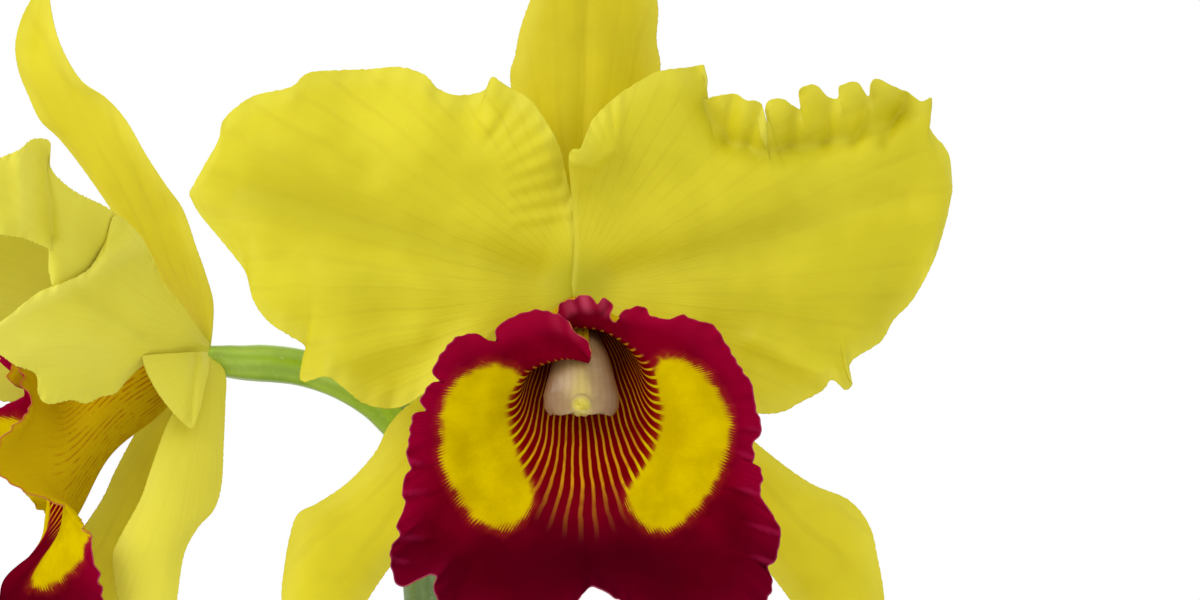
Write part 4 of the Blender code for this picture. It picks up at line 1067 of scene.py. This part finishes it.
def make_column(prefix, to_world, tilt=0.0):
    """The column: an arched hood, hollow beneath, with a toothed front edge."""
    rows, columns = 80, 96
    t = np.linspace(0, 1, rows)
    centre = spline(COLUMN_LINE, t)
    along = np.gradient(centre, axis=0)
    along /= np.linalg.norm(along, axis=1, keepdims=True)
    back = np.cross(along, np.array((1.0, 0.0, 0.0)))
    back *= np.sign(back[:, 2:3] - 3 * back[:, 1:2])
    angle = circle(columns)
    wide = np.interp(t, *zip(*COLUMN_WIDE))[:, None] * np.cos(angle)
    high = np.interp(t, *zip(*COLUMN_HIGH))[:, None] * np.sin(angle)
    hollow = smooth(0.45, 0.9, t)[:, None] * smooth(0.0, -0.8, np.sin(angle))
    high = high * (1 - 1.25 * hollow)
    teeth = 0.55 * np.abs(np.sin(3.5 * angle)) * smooth(-0.1, 0.4, np.sin(angle))
    teeth = teeth * smooth(0.9, 1.0, t)[:, None]
    keel = 0.35 * np.exp(-((angle - np.pi / 2) / 0.35) ** 2) * smooth(0.3, 0.6, t)[:, None]
    rings = (centre[:, None] + np.array((1.0, 0, 0)) * wide[..., None]
             + back[:, None] * (high + keel)[..., None] + along[:, None] * teeth[..., None])
    ends = [centre[-1] + (rings[-1] - centre[-1]) * shrink - along[-1] * depth
            for shrink, depth in ((0.96, 0.0), (0.88, 0.6), (0.7, 1.8), (0.4, 2.6), (0.0, 2.9))]
    starts = [centre[0] + (rings[0] - centre[0]) * shrink for shrink in (0.0, 0.6)]
    points = np.concatenate((np.array(starts), rings, np.array(ends)))
    tube(f"{prefix}_column", to_world(tilted(points, tilt)), "column")
    make_anther(prefix, to_world, tilt)


def tilted(points, angle):
    """Points turned about the x axis through the flower's centre."""
    y, z = points[..., 1], points[..., 2]
    return np.stack((points[..., 0], y * math.cos(angle) - z * math.sin(angle),
                     y * math.sin(angle) + z * math.cos(angle)), axis=-1)


def make_anther(prefix, to_world, tilt):
    """The pollen cap: a small two-lobed hood at the column's tip."""
    rows, columns = 22, 32
    polar = np.linspace(0, np.pi, rows)[:, None]
    angle = circle(columns)[None, :]
    cleft = 1 - 0.16 * np.exp(-(np.sin(0.5 * (angle - 1.5 * np.pi)) / 0.10) ** 2) * np.sin(polar)
    x = 2.1 * np.sin(polar) * np.cos(angle) * cleft
    y = -0.9 * np.cos(polar)
    z = 2.3 * np.sin(polar) * np.sin(angle) * cleft
    lean = math.radians(14)
    points = np.stack((x + 0.6, y * math.cos(lean) - z * math.sin(lean) - 26.9,
                       y * math.sin(lean) + z * math.cos(lean) - 20.9), axis=-1)
    tube(f"{prefix}_anther_cap", to_world(tilted(points, tilt)), "anther")


# Stems: x, depth, z and radius in mm from the front flower's centre.
FRONT_OVARY = ((-30.4, 26.6, -21, 2.6), (-28.4, 26, -18.6, 2.9), (-22, 23, -11.5, 3.1),
               (-12, 16, -5, 3.3), (-4, 10, -1.8, 3.2), (0, 4.6, -0.6, 3))
SIDE_OVARY = ((-71.4, 20, -11.6, 2), (-69.2, 20.1, -12.4, 3.1), (-64, 20.4, -13.2, 3.5),
              (-57.5, 21.2, -13.5, 3.5), (-51.5, 22.2, -14.4, 3.5), (-44.8, 24, -16.8, 3.5),
              (-38.8, 26, -20.6, 3.4), (-34.6, 27, -24.9, 3.2))
PEDUNCLE = ((-32.2, 27.5, -21, 2.6), (-32.2, 27.5, -28, 3.5), (-30, 26.5, -50, 3.3),
            (-28, 25, -90, 3.3), (-31, 24.5, -140, 3.3), (-36, 24.2, -185, 3.3),
            (-38.6, 24, -221.6, 3.2))


def make_stem(name, path, slot, ribs, rows, columns=40):
    path = np.array(path, float)
    line = even(path[:, :3], rows)
    radius = np.interp(np.linspace(0, 1, rows), np.linspace(0, 1, len(path)), path[:, 3])
    angle = circle(columns)
    shape = 1 + 0.035 * np.cos(ribs * angle)
    world = np.array(FRONT) + line * MM
    rings = sweep(world, radius * MM, columns, shape, up=(0.3, 0.9, 0.3))
    return tube(name, rings, slot)


def make_flowers():
    make_front_sheets()
    make_lip("front_lip", FRONT_LIP_RINGS, FRONT_LIP_OPENING, FRONT_LIP_EDGE, FRONT_LIP_DEPTHS, (7, 17), 71,
             seen)
    make_column("front", seen)
    make_side_sheets()
    half = list(SIDE_LIP_HALF_EDGE)
    whole = [(-x, y, z) for x, y, z in half] + [(0.0, -37.0, -52.0)] + half[::-1]
    whole = [(1.0, -36.0, -6.0)] + whole + [(-1.0, -33.0, -3.5)]
    make_lip("side_lip", SIDE_LIP_RINGS, SIDE_LIP_OPENING, whole, (), (6, 15), 81, side_world, bulge=6.0,
             fan_foot=-38.0)
    make_column("side", side_world, math.radians(-6.0))
    make_stem("front_ovary", FRONT_OVARY, "ovary", 6, 60)
    make_stem("side_ovary", SIDE_OVARY, "ovary", 6, 70)
    make_stem("peduncle", PEDUNCLE, "stem", 7, 160)


# ---- plant body ---------------------------------------------------------
# Foot (x, y), height, greatest radius and lean of the top (x, y), in metres.
BULB_FOOT_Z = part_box("pseudobulb_3")[0].z
BULBS = (
    (0.046, 0.014, 0.112, 0.0095, 0.022, 0.004),
    (0.027, 0.023, 0.124, 0.0105, 0.010, 0.014),
    (0.005, 0.024, 0.130, 0.0110, 0.000, 0.020),
    (-0.017, 0.015, 0.126, 0.0110, -0.022, 0.010),
    (-0.030, -0.006, 0.118, 0.0110, 0.022, -0.002))

# Length, width, heading in degrees from +X, rise at foot and tip in degrees.
LEAVES = (
    (0.150, 0.044, 12.0, 66.0, 8.0),
    (0.165, 0.050, 48.0, 72.0, 14.0),
    (0.175, 0.052, 112.0, 70.0, 2.0),
    (0.170, 0.054, 172.0, 60.0, 0.0),
    (0.155, 0.050, 232.0, 62.0, 4.0))

# Bulb number from 1, share of its height covered, open side in degrees from +X.
SHEATHS = ((3, 0.42, 250.0), (4, 0.50, 300.0), (5, 0.60, 210.0))


def radial(angle):
    """Level unit vectors at those angles."""
    return np.stack((np.cos(angle), np.sin(angle), 0 * angle), axis=-1)


def bulb_axis(bulb, t):
    x, y, height, _, lean_x, lean_y = bulb
    bend = np.maximum(t, 0.0) ** 1.6
    return np.stack((x + lean_x * bend, y + lean_y * bend, BULB_FOOT_Z + height * t), axis=-1)


def bulb_radius(bulb, t):
    """Club shape: thin foot, widest two thirds up, rounded shoulder."""
    t = np.clip(t, 0.0, 1.0)
    ends = 0.0036 + 0.0014 * t
    return ends + (bulb[3] - ends) * np.maximum(np.sin(np.pi * t ** 1.25), 0.0) ** 0.8


def make_bulbs():
    """Ribbed pseudobulbs with the raised rings of their old sheaths."""
    columns = 72
    angle = circle(columns)
    for number, bulb in enumerate(BULBS, 1):
        t = np.linspace(-0.03, 1, 120)
        radius = bulb_radius(bulb, t)
        for ring in (0.14, 0.36, 0.62, 0.93):
            radius += 0.00045 * np.exp(-((t - ring) / 0.008) ** 2)
            radius -= 0.00035 * np.exp(-((t - ring - 0.022) / 0.012) ** 2)
        depth = 0.05 * np.sin(np.pi * np.clip(t, 0, 1))[:, None] ** 0.6
        ribs = np.abs(np.sin(0.5 * 11 * angle + 0.5 * ripple(angle / 6.3, 1, 3, 90 + number)))
        shape = 1 + depth * (ribs[None, :] - 0.75) + 0.012 * ripple(angle / (2 * np.pi), 1, 4, 95 + number)
        rings = sweep(bulb_axis(bulb, t), radius, columns, shape, up=(0.0, 1.0, 0.02))
        tube(f"pseudobulb_{number}", rings, "bulb")


def make_leaves():
    """Leathery leaves, folded along the middle, that rise and arch over."""
    rows, columns = 150, 56
    for number, (length, width, heading, rise_foot, rise_tip) in enumerate(LEAVES, 1):
        out = np.array((math.cos(math.radians(heading)), math.sin(math.radians(heading)), 0.0))
        up = np.array((0.0, 0.0, 1.0))
        across = np.array((-out[1], out[0], 0.0))
        start = bulb_axis(BULBS[number - 1], 1.0) + up * 0.0014 + out * 0.0030
        u = np.linspace(0, 1, rows)
        rise = np.radians(rise_foot + (rise_tip - rise_foot) * u)
        step = out * np.cos(rise)[:, None] + up * np.sin(rise)[:, None]
        line = start + np.concatenate(([np.zeros(3)], np.cumsum(step[:-1], axis=0))) * length / (rows - 1)
        normal = up * np.cos(rise)[:, None] - out * np.sin(rise)[:, None]
        half = 0.5 * width * (0.15 + 0.85 * np.sin(np.pi * (0.985 * u) ** 0.85) ** 0.65)
        half = half * np.sqrt(np.clip(1 - (np.maximum(u - 0.90, 0.0) / 0.1006) ** 2, 0.0, 1.0))
        blunt = smooth(1.0, 0.80, u)[:, None]          # the groove and rib fade out at the tip
        side = np.sin(0.5 * np.pi * np.linspace(-1, 1, columns))
        keel = (0.22 + 0.5 * smooth(0.22, 0.0, u))[:, None] * half[:, None] * np.abs(side) ** 1.5
        keel = keel + (0.0008 * (1 - np.exp(-(side * half[:, None] / 0.0012) ** 2)) - 0.0004) * blunt
        wave = ripple(u, 1.0, 3.5, 100 + number)[:, None] * np.sign(side) * np.abs(side) ** 2
        keel = keel + 0.0013 * wave * smooth(0.15, 0.4, u)[:, None] * blunt
        reach = half[:, None] * side * (1 + 0.012 * ripple(u, 3, 9, 110 + number)[:, None])
        reach = reach * (1 - 0.25 * smooth(0.22, 0.0, u))[:, None]
        notch = 0.0012 * np.exp(-(side / 0.30) ** 2) * smooth(0.95, 1.0, u)[:, None]
        points = (line[:, None] + across * reach[..., None] + normal[:, None] * keel[..., None]
                  - step[:, None] * notch[..., None])
        thick = 0.0010 + 0.0012 * (1 - np.abs(side)[None, :] ** 3) * (0.3 + 0.7 * blunt)
        thick = thick + 0.0006 * np.exp(-(side / 0.08) ** 2) * blunt
        uv = np.stack(np.meshgrid(u, 0.5 + 0.5 * side, indexing="ij"), axis=-1)
        shell(f"leaf_{number}", points, thick, "leaf", uv=uv)


def make_sheaths():
    """Dry sheaths round the younger bulbs, torn and lifting at the top."""
    rows, columns = 70, 90
    u, v = square(rows, columns)
    for number, share, facing in SHEATHS:
        bulb = BULBS[number - 1]
        top = share + 0.045 * ripple(v[0], 2, 9, 120 + number)[None, :]
        t = 0.03 + (top - 0.03) * u
        half = np.radians(158 - 48 * u ** 3) * (1 + 0.04 * ripple(u, 2, 7, 130 + number))
        angle = math.radians(facing + 180) + (2 * v - 1) * half
        wrinkle = 0.00022 * ripple(v, 5, 16, 140 + number) * smooth(0.0, 0.4, u)
        radius = bulb_radius(bulb, t) + 0.0007 + 0.0016 * u ** 3 + wrinkle
        points = bulb_axis(bulb, t) + radial(angle) * radius[..., None]
        shell(f"bulb_sheath_{number}", points, 0.35 * MM, "sheath")


def make_spathe():
    """The two-edged green sheath that the flower stem grew out of."""
    rows, columns = 80, 60
    u, v = square(rows, columns)
    path = np.array(PEDUNCLE)[:, :3] * MM + np.array(FRONT)
    low, high = path[-1], path[-2]
    reach = 0.075 / np.linalg.norm(high - low)
    at = low + (high - low) * (0.05 + u * reach)[..., None]
    flat = 0.0044 * (1 + 0.28 * np.sin(np.pi * u)) + 0.00025 * ripple(v, 2, 7, 151) * u
    angle = np.radians(90 + (2 * v - 1) * (137 - 112 * u ** 2))
    points = at + np.stack((1.25 * np.cos(angle), np.sin(angle), 0 * u), axis=-1) * flat[..., None]
    shell("spathe", points, 0.5 * MM, "spathe")


# Roots: x and y of points along each, in metres; they lie on the bark.
ROOTS = (
    ((0.0495, 0.004), (0.045, -0.002), (0.049, -0.011), (0.046, -0.026), (0.030, -0.041), (0.012, -0.047)),
    ((0.0185, 0.0235), (0.0165, 0.016), (0.012, 0.002), (0.016, -0.014), (0.006, -0.028), (-0.010, -0.040)),
    ((-0.008, 0.0200), (-0.010, 0.030), (-0.018, 0.040), (-0.030, 0.044), (-0.042, 0.036)),
    ((0.0340, 0.0200), (0.0355, 0.029), (0.030, 0.042), (0.016, 0.050), (0.000, 0.052)),
    ((-0.0310, -0.0080), (-0.042, -0.005), (-0.050, -0.006), (-0.052, 0.006), (-0.050, 0.018)))
RHIZOME = ((0.051, 0.002), (0.046, 0.014), (0.027, 0.023), (0.005, 0.024), (-0.017, 0.015),
           (-0.030, -0.006), (-0.034, -0.022))


def make_roots():
    for number, route in enumerate(ROOTS, 1):
        low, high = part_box(f"root_{number}")
        line = even(route, 110)
        t = np.linspace(0, 1, 110)
        lift = 0.5 * (low.z + high.z) + 0.0007 * ripple(t, 1, 4, 160 + number)
        lift = lift - 0.0050 * smooth(0.88, 1.0, t) * (number % 2)
        sway = 0.0006 * ripple(t, 2, 5, 170 + number) * smooth(0.0, 0.2, t)
        centre = np.stack((line[:, 0] + sway, line[:, 1] - sway, lift), axis=1)
        radius = 0.0021 * (1 + 0.07 * ripple(t, 3, 11, 180 + number)) * (1 - 0.25 * smooth(0.85, 1.0, t))
        shape = 1 + 0.03 * ripple(np.linspace(0, 1, 26, endpoint=False), 1, 3, 190 + number)
        tube(f"root_{number}", sweep(centre, radius, 26, shape), "root")


def make_rhizome():
    """The creeping stem, ringed by the scars of its scales."""
    low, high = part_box("rhizome")
    line = even(RHIZOME, 220)
    t = np.linspace(0, 1, 220)
    centre = np.column_stack((line, np.full(220, 0.5 * (low.z + high.z))))
    saw = (t * 24) % 1.0
    radius = 0.0037 * (1 + 0.10 * saw ** 3 + 0.04 * ripple(t, 2, 8, 200))
    tube("rhizome", sweep(centre, radius, 40), "rhizome")


# ---- pot and bark -------------------------------------------------------
POT_BASE_RADIUS = 0.047
POT_WALL = 0.006
POT_RIM_HEIGHT = 0.022
POT_RIM_STEP = 0.004
POT_RIM_SLOPE = 0.002
POT_ROUNDING = 0.0014
POT_FLOOR = 0.007
DRAIN_RADIUS = 0.005
DRAIN_CIRCLE = 0.026
BARK_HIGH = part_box("bark_bed")[1].z
CHIP_COUNT = 300
CHIP_LAYER = 0.0075
CHIP_SIZES = ((0.0045, 0.0105), (0.0032, 0.0066), (0.0016, 0.0032))


def pot_radius(z):
    """Radius of the pot's outside below the rim band."""
    return POT_BASE_RADIUS + (POT_HIGH.x - POT_RIM_STEP - POT_BASE_RADIUS) * z / POT_HIGH.z


def turned(profile, steps, wobble):
    """Rings of world points from a profile of (radius, z), slightly uneven."""
    angle = circle(steps)
    profile = np.array(profile)
    uneven = 1 + wobble * ripple(angle / (2 * np.pi), 1, 5, 210)
    radius = profile[:, :1] * uneven
    return np.stack((radius * np.cos(angle), radius * np.sin(angle),
                     np.broadcast_to(profile[:, 1:], radius.shape)), axis=-1)


def rounded(corner, before, after, cut):
    """Three points in place of a sharp corner of a profile."""
    corner, before, after = (np.array(p) for p in (corner, before, after))
    a = corner + (before - corner) / np.linalg.norm(before - corner) * cut
    b = corner + (after - corner) / np.linalg.norm(after - corner) * cut
    return [tuple(a), tuple(0.25 * a + 0.5 * corner + 0.25 * b), tuple(b)]


def make_pot():
    """A thrown terracotta pot with a rim band and four drain holes."""
    top, rim_z = POT_HIGH.z, POT_HIGH.z - POT_RIM_HEIGHT
    wide = POT_HIGH.x
    path = [(0.0, 0.0), (POT_BASE_RADIUS, 0.0), (pot_radius(rim_z), rim_z), (wide - POT_RIM_SLOPE, rim_z),
            (wide, top), (pot_radius(top) - POT_WALL, top), (pot_radius(POT_FLOOR) - POT_WALL, POT_FLOOR),
            (0.0, POT_FLOOR)]
    outline = [path[0]]
    for before, corner, after in zip(path, path[1:], path[2:]):
        outline += rounded(corner, before, after, POT_ROUNDING)
    outline.append(path[-1])
    fine = [outline[0]]
    for a, b in zip(outline, outline[1:]):
        parts = max(1, int(math.hypot(b[0] - a[0], b[1] - a[1]) / 0.0016))
        fine += [(a[0] + (b[0] - a[0]) * k / parts, a[1] + (b[1] - a[1]) * k / parts)
                 for k in range(1, parts + 1)]
    fine = np.array(fine)
    grooves = 0.00012 * ripple(fine[:, 1] / 0.1, 4, 22, 211) * smooth(0.02, 0.035, fine[:, 0])
    fine[:, 0] += grooves * smooth(0.002, 0.006, fine[:, 1]) * smooth(top, top - 0.004, fine[:, 1])
    piece = tube("terracotta_pot", turned(fine, 180, 0.0012), "pot", node="pot")
    for number in range(4):
        angle = math.radians(45 + 90 * number)
        bpy.ops.mesh.primitive_cylinder_add(
            vertices=40, radius=DRAIN_RADIUS, depth=0.03,
            location=(DRAIN_CIRCLE * math.cos(angle), DRAIN_CIRCLE * math.sin(angle), 0.0))
        cutter = bpy.context.object
        cut = piece.modifiers.new(f"drain_{number}", "BOOLEAN")
        cut.object = cutter
        solid = bpy.data.meshes.new_from_object(piece.evaluated_get(bpy.context.evaluated_depsgraph_get()))
        piece.modifiers.clear()
        piece.data = solid
        bpy.data.objects.remove(cutter, do_unlink=True)
    piece.data.materials.clear()
    piece.data.materials.append(LOOKS["pot"])


def make_bark():
    """Chips of fir bark, joined in one piece, over a packed bed; the bed and the deeper chips are painted
    darker, as shade among the chips.
    """
    reach = pot_radius(BARK_HIGH) - POT_WALL - 0.0012
    foot = pot_radius(POT_FLOOR) - POT_WALL - 0.001
    bed = BARK_HIGH - CHIP_LAYER
    profile = [(0.0, POT_FLOOR + 0.0003), (foot, POT_FLOOR + 0.0003), (reach - 0.0008, bed - 0.0015)]
    profile += [(reach * (1 - k / 30), bed) for k in range(1, 30)] + [(0.0, bed)]
    rings = turned(profile, 120, 0.0)
    rough = 0.0010 * cloud(rings[..., 0], rings[..., 1], 0.009, 220)
    rings[3:-1, :, 2] += rough[3:-1]
    # The bed takes the darkest bark tone: painted shade beneath the chips.
    tube("bark_bed_fill", rings, "bark", {"shade": np.zeros(rings.shape[:2])}, "bark_bed")

    rng = np.random.default_rng(222)
    verts, faces, tones_and_shade = [], [], []
    box = np.array([(x, y, z) for x in (-1, 1) for y in (-1, 1) for z in (-1, 1)], float)
    sides = np.array(((0, 1, 3, 2), (4, 6, 7, 5), (0, 4, 5, 1), (2, 3, 7, 6), (0, 2, 6, 4), (1, 5, 7, 3)))
    cells = 5
    for _ in range(CHIP_COUNT):
        size = np.array([rng.uniform(*span) for span in CHIP_SIZES])
        away = reach - np.hypot(size[0], size[1]) * 0.9
        distance, bearing = away * math.sqrt(rng.uniform()), rng.uniform(0, 2 * np.pi)
        tilt, roll, spin = rng.normal(0, 0.38), rng.normal(0, 0.32), rng.uniform(0, np.pi)
        layer = rng.uniform(0.0, 1.0)
        height = BARK_HIGH - 0.0020 - 0.0045 * layer
        grid, quads = chip(box, sides, cells, size, rng)
        spun = turn_points(grid, tilt, roll, spin)
        spun += np.array((distance * math.cos(bearing), distance * math.sin(bearing), height))
        over = np.max(spun[:, 2]) - (BARK_HIGH + 0.0016)
        spun[:, 2] -= max(over, 0.0)
        faces.append(quads + sum(len(v) for v in verts))
        verts.append(spun)
        # A random tone for each chip, scaled down for deeper chips: real tone plus painted shade among the
        # chips.
        tones_and_shade.append(np.full(len(spun), rng.uniform(0.0, 1.0) * (1 - 0.4 * layer)))
    verts, faces = np.concatenate(verts), np.concatenate(faces)
    piece = make_object("bark_chips", verts, faces, "bark", verts[:, :2] * 10,
                        {"shade": np.concatenate(tones_and_shade)}, "bark_bed")
    weld = piece.modifiers.new("weld", "WELD")
    weld.merge_threshold = 0.01 * MM


def chip(box, sides, cells, size, rng):
    """One rounded, broken bark chip: the six faces of a jittered box."""
    corners = box * size * rng.uniform(0.72, 1.0, (8, 1)) + rng.normal(0, 0.10, (8, 3)) * size
    seed = int(rng.integers(1000))
    t = np.linspace(0, 1, cells)
    a, b = np.meshgrid(t, t, indexing="ij")
    grids, quads = [], []
    for k, (p, q, r, s) in enumerate(sides):
        face = (corners[p] * ((1 - a) * (1 - b))[..., None] + corners[q] * (a * (1 - b))[..., None]
                + corners[r] * (a * b)[..., None] + corners[s] * ((1 - a) * b)[..., None])
        grids.append(face.reshape(-1, 3))
        quads.append(grid_faces(cells, cells, k * cells * cells))
    points = np.concatenate(grids)
    shape = points / size
    power = np.power(np.sum(np.abs(shape) ** 5, axis=1), 1 / 5)[:, None]
    points = points / np.maximum(power, 0.55) * 0.9
    points[:, 2] += 0.00035 * cloud(points[:, 0], points[:, 1], 0.004, seed)
    return points, np.concatenate(quads)


def turn_points(points, tilt, roll, spin):
    """Points turned about x, then y, then z."""
    cx, sx, cy, sy, cz, sz = (f(a) for a in (tilt, roll, spin) for f in (math.cos, math.sin))
    about_x = np.array(((1, 0, 0), (0, cx, -sx), (0, sx, cx)))
    about_y = np.array(((cy, 0, sy), (0, 1, 0), (-sy, 0, cy)))
    about_z = np.array(((cz, -sz, 0), (sz, cz, 0), (0, 0, 1)))
    return points @ (about_z @ about_y @ about_x).T


make_flowers()
make_bulbs()
make_leaves()
make_sheaths()
make_spathe()
make_roots()
make_rhizome()
make_pot()
make_bark()


# ---- stage --------------------------------------------------------------
def make_stage():
    bpy.ops.mesh.primitive_plane_add(size=FLOOR_SIZE, location=(0.0, 0.0, POT_LOW.z - FLOOR_GAP))
    floor = bpy.context.object
    floor.name = "floor"
    look = Look("floor_paper", 0.9)
    soft = look.noise(8.0, 2.0)
    floor.data.materials.append(look.finish(look.mix(soft, srgb(238, 237, 235), srgb(242, 241, 240))))


def add_light(name, place, size, energy, tint=(1.0, 1.0, 1.0)):
    """A round lamp that looks at the front flower."""
    data = bpy.data.lights.new(name, "AREA")
    data.shape = "DISK"
    data.size = size
    data.energy = energy
    data.color = tint
    light = bpy.data.objects.new(name, data)
    light.location = place
    light.rotation_euler = (FRONT - Vector(place)).to_track_quat("-Z", "Y").to_euler()
    bpy.context.scene.collection.objects.link(light)


def make_light():
    add_light("key", (-1.5, -1.1, 1.5), 1.2, 15.0, (1.0, 0.99, 0.96))
    add_light("fill", (1.2, -1.3, 0.8), 1.4, 1.0)
    add_light("back", (0.3, 1.4, 1.3), 1.2, 4.0)
    world = bpy.data.worlds.new("studio")
    world.use_nodes = True
    tree = world.node_tree
    ground, shown = tree.nodes["Background"], tree.nodes.new("ShaderNodeBackground")
    for white, strength in ((ground, 0.85), (shown, 1.0)):
        white.inputs["Color"].default_value = (1.0, 1.0, 1.0, 1.0)
        white.inputs["Strength"].default_value = strength
    path = tree.nodes.new("ShaderNodeLightPath")
    blend = tree.nodes.new("ShaderNodeMixShader")
    tree.links.new(path.outputs["Is Camera Ray"], blend.inputs[0])
    tree.links.new(ground.outputs[0], blend.inputs[1])
    tree.links.new(shown.outputs[0], blend.inputs[2])
    tree.links.new(blend.outputs[0], tree.nodes["World Output"].inputs[0])
    bpy.context.scene.world = world
    bpy.context.scene.view_settings.view_transform = "Standard"


def make_camera():
    data = bpy.data.cameras.new("camera")
    data.sensor_width = 36.0
    data.lens = LENS
    camera = bpy.data.objects.new("camera", data)
    camera.location = FRONT + Vector((VIEW_AXIS[0], -VIEW_DISTANCE, VIEW_AXIS[1])) * MM
    camera.rotation_euler = (math.radians(90), 0.0, 0.0)
    bpy.context.scene.collection.objects.link(camera)
    bpy.context.scene.camera = camera


make_stage()
make_light()
make_camera()
